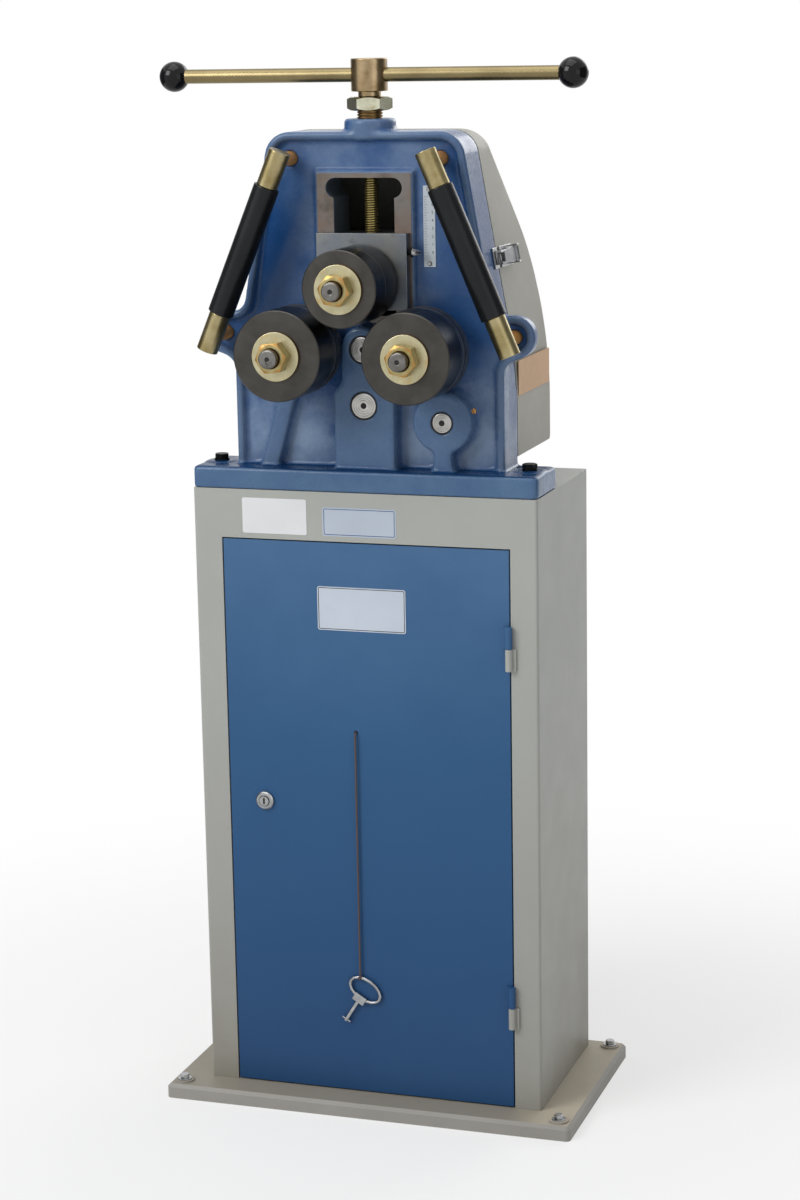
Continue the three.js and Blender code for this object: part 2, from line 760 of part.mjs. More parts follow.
function frameOutline() {
  const bottom = standTop + footThickness / 2;
  const filletFoot = lowerStudZ - earFilletDrop;
  const lowTangent = [-Math.sin(earLow), Math.cos(earLow)];
  const highTangent = [-Math.sin(earHigh), Math.cos(earHigh)];
  const low = meeting(onEar(earLow), lowTangent, [frameHalfWidth, filletFoot], [0, 1]);
  const high = meeting(onEar(earHigh), highTangent, [flankFootX, flankFootZ], flankDown);
  const outline = new THREE.Shape();
  outline.moveTo(frameHalfWidth, bottom);
  outline.lineTo(frameHalfWidth, filletFoot);
  outline.quadraticCurveTo(...low, ...onEar(earLow));
  outline.absarc(lowerStudX, lowerStudZ, earRadius, earLow, earHigh);
  outline.quadraticCurveTo(...high, flankFootX, flankFootZ);
  drawTop(outline);
  const mirrored = ([x, z]) => [-x, z];
  outline.quadraticCurveTo(...mirrored(high), ...mirrored(onEar(earHigh)));
  outline.absarc(-lowerStudX, lowerStudZ, earRadius, Math.PI - earHigh, Math.PI - earLow);
  outline.quadraticCurveTo(...mirrored(low), -frameHalfWidth, filletFoot);
  outline.lineTo(-frameHalfWidth, bottom);
  return outline;
}

// The head without its ears, from a level at the bottom
function flankOutline(bottom) {
  const knee = lowerStudZ - kneeBelowStud;
  const bend = knee - kneeBendLength;
  const outline = new THREE.Shape();
  outline.moveTo(frameHalfWidth, bottom);
  outline.lineTo(frameHalfWidth, bend);
  outline.quadraticCurveTo(frameHalfWidth, knee, flankFootX, flankFootZ);
  drawTop(outline);
  outline.quadraticCurveTo(-frameHalfWidth, knee, -frameHalfWidth, bend);
  outline.lineTo(-frameHalfWidth, bottom);
  return outline;
}

// Frame casting: body with a raised rim, foot, top boss, window, pads, bosses and rib
const headDepth = past(frameFront, frameRear);
const boreDepth = past(padFront, frameRear);
const windowLobeZ = frameTop - windowLobeBelowTop;
const windowNeckBottom = standTop + windowNeckBottomAboveStand;
const padRoot = panelFront + castEdge;

function frameFoot() {
  const outline = roundedRectangle(across(cabinetSide), [cabinetFront, frameRear], footCornerRadius);
  const low = standTop - 2 * castEdge;
  const below = block(across(cabinetWidth), [2 * cabinetFront, cabinetRear], [low - castEdge, standTop]);
  const flange = cut(slab(outline, low, footTop, castEdge), below);
  const bosses = [-footBoltX, footBoltX].map((x) => {
    return at(upright(rod(footBossRadius, footTop - castEdge, footTop + footBossHeight)), x, footBoltY, 0);
  });
  return join(flange, ...bosses);
}

function centrePad() {
  const shoulder = lowerAxisZ - centreNeckDrop;
  const low = standTop + footThickness / 2;
  const outline = new THREE.Shape();
  outline.moveTo(centrePadHalfWidth, low);
  outline.lineTo(centrePadHalfWidth, lowerAxisZ - centrePadShoulderDrop);
  outline.lineTo(centreNeckHalfWidth, shoulder);
  outline.absarc(0, lowerAxisZ, centreNeckHalfWidth, 0, Math.PI);
  outline.lineTo(-centreNeckHalfWidth, shoulder);
  outline.lineTo(-centrePadHalfWidth, lowerAxisZ - centrePadShoulderDrop);
  outline.lineTo(-centrePadHalfWidth, low);
  return plate(outline, padFront, padRoot, castEdge, castSegments);
}

function drivePad() {
  const low = standTop + footThickness / 2;
  const neckAngle = Math.asin(driveNeckHalfWidth / drivePadRadius);
  const flare = driveZ - drivePadRadius - castEdge;
  const outline = new THREE.Shape();
  outline.moveTo(driveX + 2 * driveNeckHalfWidth, low);
  outline.quadraticCurveTo(driveX + driveNeckHalfWidth, footTop, driveX + driveNeckHalfWidth, flare);
  outline.absarc(driveX, driveZ, drivePadRadius, neckAngle - Math.PI / 2, 1.5 * Math.PI - neckAngle);
  outline.lineTo(driveX - driveNeckHalfWidth, flare);
  outline.quadraticCurveTo(driveX - driveNeckHalfWidth, footTop, driveX - 2 * driveNeckHalfWidth, low);
  return plate(outline, padFront, padRoot, castEdge, flareSegments);
}

function slantedRib() {
  const outline = new THREE.Shape();
  outline.moveTo(-ribFootX + ribWidth / 2, standTop + footThickness / 2);
  outline.lineTo(-ribTopX + ribWidth / 2, lowerAxisZ - rollerBossRadius);
  outline.lineTo(-ribTopX - ribWidth / 2, lowerAxisZ - rollerBossRadius);
  outline.lineTo(-ribFootX - ribWidth / 2, standTop + footThickness / 2);
  return plate(outline, panelFront - ribProud, padRoot, castEdge);
}

function windowCutter() {
  const neck = block(across(windowNeckHalfWidth), headDepth, [windowNeckBottom, windowLobeZ]);
  const lobe = stadium(windowLobeHalfLength, windowLobeRadius, 0, windowLobeZ);
  return join(neck, plate(lobe, ...headDepth, 0, castSegments));
}

function frameCasting() {
  const outline = frameOutline();
  const flanks = flankOutline(standTop + footThickness / 2);
  const behind = block(across(cabinetWidth), [frameRear, cabinetRear], [0, 2 * frameTop]);
  const face = plate(outline, frameFront, frameFront + earDepth, castEdge, castSegments);
  const web = plate(flanks, frameFront, frameRear + 2 * castEdge, castEdge, castSegments);
  const body = cut(join(face, web), behind);
  const pocketOutline = inset(outline, rimWidth, castSegments);
  const pocket = plate(pocketOutline, frameFront - cutOverrun, panelFront);
  const padLevels = [windowNeckBottom - windowPadBelowNeck, frameTop - windowPadTopBelowTop];
  const windowPad = block(across(windowPadHalfWidth), [windowPadFront, padRoot], padLevels);
  const bossLevels = [bossTop - bossHeight, bossTop];
  const topBoss = at(upright(chamferedRod(bossRadius, ...bossLevels)), 0, screwY, 0);
  const rollerBosses = [-rollerHalfSpacing, rollerHalfSpacing].map((x) => {
    return at(rod(rollerBossRadius, rollerBossFront, padRoot, fineFacets), x, 0, lowerAxisZ);
  });
  const pads = [windowPad, centrePad(), drivePad(), slantedRib()];
  const uncut = join(cut(body, pocket), frameFoot(), topBoss, ...rollerBosses, ...pads);
  const shaftBores = [
    [shaftRadius + bushWall + seatGap, -rollerHalfSpacing, lowerAxisZ],
    [shaftRadius + bushWall + seatGap, rollerHalfSpacing, lowerAxisZ],
    [idlerShaftRadius + seatGap, 0, lowerAxisZ],
    [intermediateShaftRadius + seatGap, 0, intermediateZ],
    [driveShaftRadius + seatGap, driveX, driveZ],
  ].map(([radius, x, z]) => at(rod(radius, ...boreDepth), x, 0, z));
  const bushBore = upright(rod(bushThreadRadius + seatGap, windowLobeZ, bossTop + cutOverrun));
  const boltLevels = past(standTop, footTop + footBossHeight);
  const boltBores = [-footBoltX, footBoltX].map((x) => {
    return at(upright(rod(footBoltHole, ...boltLevels, smallFacets)), x, footBoltY, 0);
  });
  const socketDepth = [frameFront - cutOverrun, panelFront + guideStudSocketDepth];
  const sockets = [];
  for (const side of [-1, 1]) {
    for (const [x, z] of [[upperStudX, upperStudZ], [lowerStudX, lowerStudZ]]) {
      const socket = rod(guideStudRadius + seatGap, ...socketDepth, smallFacets);
      sockets.push(at(socket, side * x, 0, z));
    }
  }
  const screwBore = at(bushBore, 0, screwY, 0);
  return cut(uncut, windowCutter(), ...shaftBores, screwBore, ...boltBores, ...sockets);
}

function chamferedRod(radius, front, rear) {
  const low = radius - castEdge;
  const side = [[low, front], [radius, front + castEdge], [radius, rear - castEdge], [low, rear]];
  return turned([[0, front], ...side, [0, rear]], fineFacets);
}
place("frame_casting", frameCasting(), blueEnamel);

// Foot bolts: head and washer above the foot, nut under the cabinet's top
function footBolt() {
  const washerBottom = footTop + footBossHeight;
  const headBottom = washerBottom + footWasherThickness;
  const nutTop = standTop - cabinetSheet;
  const shankEnd = nutTop - footBoltNutHeight - footWasherThickness;
  const washer = rod(footWasherRadius, washerBottom, headBottom, smallFacets);
  const head = hexagon(footBoltAcrossFlats, headBottom, headBottom + footBoltHeadHeight, 0);
  const nut = hexagon(footBoltAcrossFlats, nutTop - footBoltNutHeight, nutTop, 0);
  const shank = rod(footBoltRadius, shankEnd, headBottom + footBoltRadius, smallFacets);
  return join(washer, head, nut, shank);
}
for (const [side, sign] of [["left", -1], ["right", 1]]) {
  place(`foot_bolt_${side}`, at(stood(footBolt()), sign * footBoltX, footBoltY, 0), blackOxide);
}

// Rear cover: a sheet hood over the gears, open towards the frame
function coverSide(gap) {
  const bottom = standTop + coverAboveStand + gap;
  const rear = coverRear - gap;
  const top = frameTop - gap;
  const slopeTopY = frameRear + coverTopDepth - gap;
  const slopeTop = frameTop - coverSlopeTopDrop - gap;
  const slopeFoot = frameTop - coverSlopeBelowTop;
  const run = rear - slopeTopY;
  const rise = slopeTop - slopeFoot;
  const bendShare = coverSlopeBend / Math.hypot(run, rise);
  const corner = coverBendRadius;
  const outline = new THREE.Shape();
  outline.moveTo(frameRear, bottom);
  outline.lineTo(rear - corner, bottom);
  outline.quadraticCurveTo(rear, bottom, rear, bottom + corner);
  outline.lineTo(rear, slopeFoot - coverSlopeBend);
  outline.quadraticCurveTo(rear, slopeFoot, rear - bendShare * run, slopeFoot + bendShare * rise);
  outline.lineTo(slopeTopY, slopeTop);
  outline.quadraticCurveTo(slopeTopY - coverSlopeTopDrop / 2, top, slopeTopY - coverSlopeTopDrop, top);
  outline.lineTo(frameRear, top);
  return outline;
}

function rearCover() {
  const outerSide = sidePlate(coverSide(0), ...across(cabinetWidth));
  const innerSide = sidePlate(coverSide(coverSheet), ...across(cabinetWidth));
  const rim = flankOutline(standTop + coverAboveStand);
  const outside = common(plate(rim, frameRear, coverRear, 0, castSegments), outerSide);
  const innerOutline = inset(rim, coverSheet, castSegments);
  const hollow = common(plate(innerOutline, frameRear, coverRear), innerSide);
  const hole = rod(driveShaftRadius + coverShaftHoleGap, ...past(coverRear - coverSheet, coverRear));
  return cut(outside, hollow, at(hole, driveX, 0, driveZ));
}
place("rear_cover", rearCover(), greyEnamel);

// Spur gears: teeth with involute widths at the root and tip, joined by straight flanks
const pressureAngle = (20 * Math.PI) / 180;
const involute = (angle) => Math.tan(angle) - angle;

function toothHalfAngle(teeth, radius) {
  const pitch = pitchRadius(teeth);
  const baseCircle = pitch * Math.cos(pressureAngle);
  const spread = radius > baseCircle ? involute(Math.acos(baseCircle / radius)) : 0;
  return Math.PI / (2 * teeth) + involute(pressureAngle) - spread - gearBacklash / pitch;
}

// One tooth centre lies at the phase angle, measured in x and z from the x axis
function gearOutline(teeth, phase) {
  const tip = pitchRadius(teeth) + gearModule;
  const root = pitchRadius(teeth) - 1.25 * gearModule;
  const outline = new THREE.Shape();
  for (let i = 0; i < teeth; i += 1) {
    const middle = phase + (2 * Math.PI * i) / teeth;
    const rootHalf = toothHalfAngle(teeth, root);
    const tipHalf = toothHalfAngle(teeth, tip);
    const corners = [[root, -rootHalf], [tip, -tipHalf], [tip, tipHalf], [root, rootHalf]];
    corners.forEach(([radius, offset], k) => {
      const step = i === 0 && k === 0 ? "moveTo" : "lineTo";
      outline[step](radius * Math.cos(middle + offset), radius * Math.sin(middle + offset));
    });
  }
  return outline;
}

function gear(teeth, phase, front, rear, bore) {
  const outline = gearOutline(teeth, phase);
  if (bore > 0) {
    const hole = new THREE.Path();
    hole.absarc(0, 0, bore, 0, 2 * Math.PI);
    outline.holes.push(hole);
  }
  return plate(outline, front, rear, 0, roundFacets / 2);
}

// The phase of a gear that meshes with another whose centre lies at the given angle from it
function meshPhase(phase, teeth, nextTeeth, angle) {
  const turnedPast = ((phase - angle) * teeth) / (2 * Math.PI);
  return angle + Math.PI + ((2 * Math.PI) / nextTeeth) * (0.5 - turnedPast);
}
const idlerPhase = Math.PI / 2;
const rollerGearPhase = {
  left: meshPhase(idlerPhase, idlerTeeth, rollerGearTeeth, Math.PI),
  right: meshPhase(idlerPhase, idlerTeeth, rollerGearTeeth, 0),
};
const pinionPhase = meshPhase(idlerPhase, idlerTeeth, pinionTeeth, -Math.PI / 2);
const drivePhase = meshPhase(0, intermediateTeeth, driveTeeth, Math.atan2(driveZ - intermediateZ, driveX));

// Shaft ends show a centre hole
function noseOf(radius, front) {
  const chamfer = centreHoleRadius / 2;
  const cone = [[0, front + centreHoleRadius], [centreHoleRadius, front]];
  return [...cone, [radius - chamfer, front], [radius, front + chamfer]];
}

// Roller shafts: threaded nose, seat, collar, journal and a clip at the rear
function rollerShaft(collarRear, clipFront) {
  const seat = [[shaftNoseRadius, rollerFront], [shaftRadius, rollerFront], [shaftRadius, rollerRear]];
  const face = shaftCollarRadius;
  const collar = [[face, rollerRear], [face, collarRear], [shaftRadius, collarRear]];
  const clipRear = clipFront + clipThickness;
  const clip = [[shaftRadius, clipFront], [clipRadius, clipFront], [clipRadius, clipRear]];
  return turned([...noseOf(shaftNoseRadius, shaftNoseFront), ...seat, ...collar, ...clip, [0, clipRear]]);
}

function rollerStack(prefix, x, z, rings) {
  const bore = shaftRadius + seatGap;
  const noseBore = shaftNoseRadius + seatGap;
  const washerFront = rollerFront - washerThickness;
  for (const { name, radius, front, rear } of rings) {
    const shell = chamferedRing(bore, radius, front, rear, rollerChamfer, fineFacets);
    place(name, at(shell, x, 0, z), burnishedSteel);
  }
  const washer = ring(noseBore, washerRadius, washerFront, rollerFront);
  place(`${prefix}_washer`, at(washer, x, 0, z), yellowZinc);
  const nut = geometryOf(hexagon(nutAcrossFlats, washerFront - nutThickness, washerFront, noseBore));
  place(`${prefix}_nut`, at(nut, x, 0, z), yellowZinc);
}

for (const [side, sign] of [["left", -1], ["right", 1]]) {
  const prefix = `lower_${side}`;
  const x = sign * rollerHalfSpacing;
  const size = { radius: lowerRollerRadius, front: rollerFront, rear: rollerRear };
  rollerStack(prefix, x, lowerAxisZ, [{ name: `${prefix}_roller`, ...size }]);
  const shaft = rollerShaft(rollerBossFront - seatGap, gearRear + seatGap);
  place(`${prefix}_shaft`, at(shaft, x, 0, lowerAxisZ), brightSteel);
  const bush = ring(shaftRadius + seatGap, shaftRadius + bushWall, rollerBossFront, frameRear);
  place(`${prefix}_bush`, at(bush, x, 0, lowerAxisZ), bronze);
  const hub = ring(shaftRadius + seatGap, gearHubRadius, frameRear + seatGap, gearFront);
  const teeth = gear(rollerGearTeeth, rollerGearPhase[side], gearFront, gearRear, shaftRadius + seatGap);
  place(`${prefix}_gear`, at(geometryOf(join(hub, teeth)), x, 0, lowerAxisZ), groundSteel);
}

// Upper roller: two rings on a shaft that turns in the slide
const ringJoint = rollerFront + rollerLength * frontRingShare;
rollerStack("upper", 0, upperAxisZ, [
  { name: "upper_front_ring", radius: upperRollerRadius, front: rollerFront, rear: ringJoint },
  { name: "upper_rear_ring", radius: upperRollerRadius, front: ringJoint, rear: rollerRear },
]);
const keeperFront = frameRear + seatGap;
const keeperRear = keeperFront + keeperThickness;
const upperShaft = rollerShaft(slidePlateFront - seatGap, keeperRear + seatGap);
place("upper_shaft", at(upperShaft, 0, 0, upperAxisZ), brightSteel);

// Idler, intermediate and drive shafts with their gears
const shaftEndFront = padFront + shaftEndRecess;

function idlerGear() {
  const shaft = [...noseOf(idlerShaftRadius, shaftEndFront), [idlerShaftRadius, gearFront], [0, gearFront]];
  return join(turned(shaft), gear(idlerTeeth, idlerPhase, gearFront, gearRear, 0));
}

function intermediateShaft() {
  const radius = intermediateShaftRadius;
  const clipFront = rearGearRear + seatGap;
  const clipRear = clipFront + clipThickness;
  const clip = [[clipRadius, clipFront], [clipRadius, clipRear], [0, clipRear]];
  const shaft = turned([...noseOf(radius, shaftEndFront), [radius, clipFront], ...clip]);
  return join(shaft, gear(pinionTeeth, pinionPhase, gearFront, gearRear, 0));
}

function driveShaft() {
  const radius = driveShaftRadius;
  const collar = [[clipRadius, gearRear], [clipRadius, rearGearFront], [radius, rearGearFront]];
  const end = crankHubFront + crankHubLength + clipThickness;
  return turned([...noseOf(radius, shaftEndFront), [radius, gearRear], ...collar, [radius, end], [0, end]]);
}
const crankHubFront = coverRear + crankStandOff;
place("idler_gear", at(geometryOf(idlerGear()), 0, 0, lowerAxisZ), groundSteel);
place("intermediate_shaft", at(geometryOf(intermediateShaft()), 0, 0, intermediateZ), groundSteel);
const rearLayer = [rearGearFront, rearGearRear];
const largeGear = gear(intermediateTeeth, 0, ...rearLayer, intermediateShaftRadius + seatGap);
place("intermediate_gear", at(largeGear, 0, 0, intermediateZ), groundSteel);
place("drive_shaft", at(driveShaft(), driveX, 0, driveZ), brightSteel);
const driveWheel = gear(driveTeeth, drivePhase, ...rearLayer, driveShaftRadius + seatGap);
place("drive_gear", at(driveWheel, driveX, 0, driveZ), groundSteel);

// Crank behind the cover, hanging straight down, with a grip that turns on its pin
const crankArmFront = crankHubFront + (crankHubLength - crankThickness) / 2;
const crankArmRear = crankArmFront + crankThickness;
const gripFront = crankArmRear + 2 * seatGap;
const gripRear = gripFront + gripLength;

function crankArm() {
  const outline = new THREE.Shape();
  outline.absarc(0, -crankRadius, crankWidth / 2, Math.PI, 2 * Math.PI);
  outline.absarc(0, 0, crankWidth / 2, 0, Math.PI);
  const arm = plate(outline, crankArmFront, crankArmRear, 0, 8);
  const hubDepth = [crankHubFront, crankHubFront + crankHubLength];
  const hub = rod(crankHubRadius, ...hubDepth);
  const bore = rod(driveShaftRadius + seatGap, ...past(...hubDepth));
  const headFront = gripRear + seatGap;
  const headRear = headFront + gripHeadThickness;
  const pin = rod(gripPinRadius, crankArmFront + crankThickness / 2, headRear - seatGap, smallFacets);
  const head = rod(gripHeadRadius, headFront, headRear, smallFacets);
  return cut(join(arm, hub, at(pin, 0, 0, -crankRadius), at(head, 0, 0, -crankRadius)), bore);
}

function crankGrip() {
  const bore = turningBore(gripPinRadius, smallFacets);
  const quarter = gripLength / 4;
  const swell = [[gripRadius, gripFront + quarter], [gripRadius, gripRear - quarter]];
  const outside = [[gripEndRadius, gripFront], ...swell, [gripEndRadius, gripRear]];
  return turned([[bore, gripFront], ...outside, [bore, gripRear], [bore, gripFront]], smallFacets);
}
place("crank_arm", at(geometryOf(crankArm()), driveX, 0, driveZ), yellowZinc);
place("crank_grip", at(crankGrip(), driveX, 0, driveZ - crankRadius), blackPlastic);

// Slide: front plate, neck in the window, keeper behind the frame
const slidePlateTop = upperAxisZ + slidePlateTopAboveAxis;
const slidePlateBottom = upperAxisZ - slidePlateBottomBelowAxis;
const slideNeckTop = slidePlateTop - slideNeckTopDrop;
const screwBottom = upperAxisZ + screwEndAboveAxis;
const shaftBore = shaftRadius + seatGap;

function slideBlock() {
  const neckHalf = windowNeckHalfWidth - seatGap;
  const plateDepth = [slidePlateFront, slidePlateRear];
  const neckDepth = [slidePlateFront + slidePlateThickness / 2, keeperFront];
  const neckLevels = [slidePlateBottom + slideNeckBottomRise, slideNeckTop];
  const front = block(across(slidePlateHalfWidth), plateDepth, [slidePlateBottom, slidePlateTop]);
  const neck = block(across(neckHalf), neckDepth, neckLevels);
  const bore = at(rod(shaftBore, ...past(slidePlateFront, keeperFront)), 0, 0, upperAxisZ);
  const screwLevels = [screwBottom - seatGap, slidePlateTop + cutOverrun];
  const screwBore = turningBore(screwRadius, smallFacets);
  const screwHole = upright(rod(screwBore, ...screwLevels, smallFacets));
  return cut(join(front, neck), bore, at(screwHole, 0, screwY, 0));
}

function slideKeeper() {
  const levels = [upperAxisZ - keeperBottomBelowAxis, slideNeckTop];
  const keeper = block(across(keeperHalfWidth), [keeperFront, keeperRear], levels);
  return cut(keeper, at(rod(shaftBore, ...past(keeperFront, keeperRear)), 0, 0, upperAxisZ));
}
place("slide_block", slideBlock(), groundSteel);
place("slide_keeper", slideKeeper(), groundSteel);

// Pointer on the slide and scale on the frame
const pointerZ = upperAxisZ + pointerAboveAxis;

function scalePointer() {
  const stem = [[0, 0], [pointerStemRadius, 0], [pointerStemRadius, pointerStemLength]];
  const head = [[pointerHeadRadius, pointerStemLength], [0, pointerStemLength + pointerHeadLength]];
  return sideways(turned([...stem, ...head], tinyFacets));
}

function scalePlate() {
  const left = slidePlateHalfWidth + scaleGap;
  const bottom = pointerZ - scaleBelowPointer;
  const centreX = left + scaleWidth / 2;
  const levels = [bottom, bottom + scaleHeight];
  const depth = [panelFront - scaleThickness, panelFront];
  const holes = [bottom + scaleHoleInset, bottom + scaleHeight - scaleHoleInset].map((z) => {
    return at(rod(scaleHoleRadius, ...past(...depth), tinyFacets), centreX, 0, z);
  });
  return cut(block([left, left + scaleWidth], depth, levels), ...holes);
}
const pointerY = (slidePlateFront + slidePlateRear) / 2;
place("scale_pointer", at(scalePointer(), slidePlateHalfWidth + seatGap, pointerY, pointerZ), brightSteel);
place("scale_plate", scalePlate(), whitePlate);

// Threaded bush, lock nut, lifting screw, hub, cross bar and balls, on the screw's axis
const bushBottom = windowLobeZ + windowLobeRadius;
const screwTop = barZ - barRadius - seatGap;
const bush = upright(ring(screwRadius + seatGap, bushThreadRadius, bushBottom, bossTop + bushProud));
place("threaded_bush", at(bush, 0, screwY, 0), yellowZinc);
const lockNut = stood(hexagon(lockNutAcrossFlats, lockNutBottom, lockNutTop, bushThreadRadius + seatGap));
place("lock_nut", at(lockNut, 0, screwY, 0), yellowZinc);
const screw = upright(rod(screwRadius, screwBottom, screwTop, smallFacets));
place("lifting_screw", at(screw, 0, screwY, 0), yellowZinc);

function handleHub() {
  const edge = castEdge / 2;
  const neckBottom = hubBottom - hubNeckLength;
  const outside = [
    [hubNeckRadius, neckBottom],
    [hubNeckRadius, hubBottom],
    [hubRadius - edge, hubBottom],
    [hubRadius, hubBottom + edge],
    [hubRadius, hubTop - edge],
    [hubRadius - edge, hubTop],
  ];
  const body = upright(turned([[0, neckBottom], ...outside, [0, hubTop]]));
  const socketLevels = [neckBottom - cutOverrun, screwTop + seatGap];
  const socket = upright(rod(screwRadius + seatGap, ...socketLevels, smallFacets));
  const crossHole = sideways(rod(barRadius + seatGap, ...across(2 * hubRadius), smallFacets));
  return cut(body, socket, at(crossHole, 0, 0, barZ));
}
place("handle_hub", at(geometryOf(handleHub()), 0, screwY, 0), yellowZinc);
const bar = sideways(rod(barRadius, ...across(barHalfLength), smallFacets));
place("handle_bar", at(bar, 0, screwY, barZ), yellowZinc);

function handleBall(sign) {
  const ball = new THREE.SphereGeometry(ballRadius, smallFacets, tinyFacets);
  const depth = ballPastBar + seatGap;
  const hole = sideways(rod(barRadius + seatGap, -2 * ballRadius, -depth + 2 * seatGap, smallFacets));
  const drilled = geometryOf(cut(ball, hole));
  return sign > 0 ? drilled : drilled.rotateZ(Math.PI);
}
const ballCentreX = barHalfLength + ballPastBar;
place("handle_ball_left", at(handleBall(-1), -ballCentreX, screwY, barZ), blackPlastic);
place("handle_ball_right", at(handleBall(1), ballCentreX, screwY, barZ), blackPlastic);

// Side guides: a bar on two studs, leaning outwards, with a tube that turns on it
const studSpan = Math.hypot(lowerStudX - upperStudX, upperStudZ - lowerStudZ);
const guideAngle = Math.atan2(lowerStudX - upperStudX, upperStudZ - lowerStudZ);
const tubeTop = guideTopOverhang - guideTopBlockLength;
const tubeBottom = guideBottomBlockLength - studSpan - guideBottomOverhang;

function guideAxle() {
  const edge = castEdge / 2;
  const bottom = -studSpan - guideBottomOverhang;
  const top = guideTopOverhang;
  const wide = guideBlockRadius;
  const lowBlock = [[wide - edge, bottom], [wide, bottom + edge], [wide, tubeBottom]];
  const middle = [[guideRodRadius, tubeBottom], [guideRodRadius, tubeTop], [wide, tubeTop]];
  const highBlock = [[wide, top - edge], [wide - edge, top]];
  const profile = [[0, bottom], ...lowBlock, ...middle, ...highBlock, [0, top]];
  const bar = at(upright(turned(profile, smallFacets)), 0, guideY, 0);
  const studEnd = panelFront + guideStudSocketDepth - seatGap;
  const studs = [0, -studSpan].map((z) => at(rod(guideStudRadius, guideY, studEnd, smallFacets), 0, 0, z));
  return join(bar, ...studs);
}

function guideTube() {
  const ends = [tubeBottom + seatGap, tubeTop - seatGap];
  const bore = turningBore(guideRodRadius, smallFacets);
  return at(upright(ring(bore, guideTubeRadius, ...ends, smallFacets)), 0, guideY, 0);
}
for (const [side, sign] of [["left", -1], ["right", 1]]) {
  const guide = new THREE.Group();
  guide.position.set(sign * upperStudX, 0, upperStudZ);
  guide.rotation.y = -sign * guideAngle;
  machine.add(guide);
  place(`guide_axle_${side}`, guideAxle(), yellowZinc, guide);
  place(`guide_tube_${side}`, guideTube(), blackPlastic, guide);
}

// Draw latches over the seam between frame and cover: x outwards, y from the seam, z along the flank
const latchPlateSpan = [seatGap, seatGap + latchPlate];
const latchTop = seatGap + latchPlate;
const hookFront = -strikeHookOffset;
const hookRear = hookFront + latchPlate + seatGap * 2;

function latchRod(radius, half) {
  return at(upright(rod(radius, ...across(half), tinyFacets)), latchPivotHeight, latchPivotOffset, 0);
}

function latchStrike() {
  const footDepthSpan = [-strikeFrontOffset, -strikeRearOffset];
  const foot = block(latchPlateSpan, footDepthSpan, across(latchHalfWidth));
  const hookSpan = [seatGap, latchTop + strikeHookHeight];
  const hook = block(hookSpan, [hookFront, hookRear], across(strikeHookHalfWidth));
  return join(foot, hook);
}

function latchBase() {
  const foot = block(latchPlateSpan, [latchBaseFront, latchBaseRear], across(latchHalfWidth));
  const earInner = latchLeverHalfWidth + 4 * seatGap;
  const earSpan = [latchPivotOffset - latchBarrelRadius, latchPivotOffset + latchBarrelRadius];
  const earHeight = [seatGap, latchPivotHeight + latchBarrelRadius];
  const ears = [[-earInner - latchPlate, -earInner], [earInner, earInner + latchPlate]].map((levels) => {
    return block(earHeight, earSpan, levels);
  });
  return join(foot, ...ears, latchRod(latchPinRadius, earInner + latchPlate / 2));
}

function latchLever() {
  const half = latchLeverHalfWidth;
  const span = across(half);
  const barrel = latchRod(latchBarrelRadius, half);
  const leafTop = latchPivotHeight + latchPlate / 2;
  const leafBottom = leafTop - latchPlate;
  const leaf = block([leafBottom, leafTop], [-latchPlate, latchPivotOffset], span);
  const barFront = hookFront - latchBarSize - 3 * seatGap;
  const armBottom = latchTop + 2 * seatGap;
  const arms = [[-half, latchArmWidth - half], [half - latchArmWidth, half]].map((levels) => {
    return block([armBottom, leafTop], [barFront, 0], levels);
  });
  const bar = block([armBottom, armBottom + latchBarSize], [barFront, barFront + latchBarSize], span);
  const bore = latchRod(latchPinRadius + seatGap, half + cutOverrun);
  return cut(join(barrel, leaf, ...arms, bar), bore);
}
const latchX = flankFootX - latchAboveFlankFoot * Math.tan(flankAngle);
for (const [side, sign] of [["left", -1], ["right", 1]]) {
  const mirror = new THREE.Group();
  mirror.scale.x = sign;
  machine.add(mirror);
  const latch = new THREE.Group();
  latch.position.set(latchX, frameRear, flankFootZ + latchAboveFlankFoot);
  latch.rotation.y = -flankAngle;
  mirror.add(latch);
  place(`latch_strike_${side}`, latchStrike(), brightSteel, latch);
  place(`latch_base_${side}`, latchBase(), brightSteel, latch);
  place(`latch_lever_${side}`, latchLever(), brightSteel, latch);
}

export default machine;
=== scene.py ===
import bpy
import bmesh
import json
from math import atan2, cos, hypot, pi, radians, sin, tan
from mathutils import Matrix, Vector

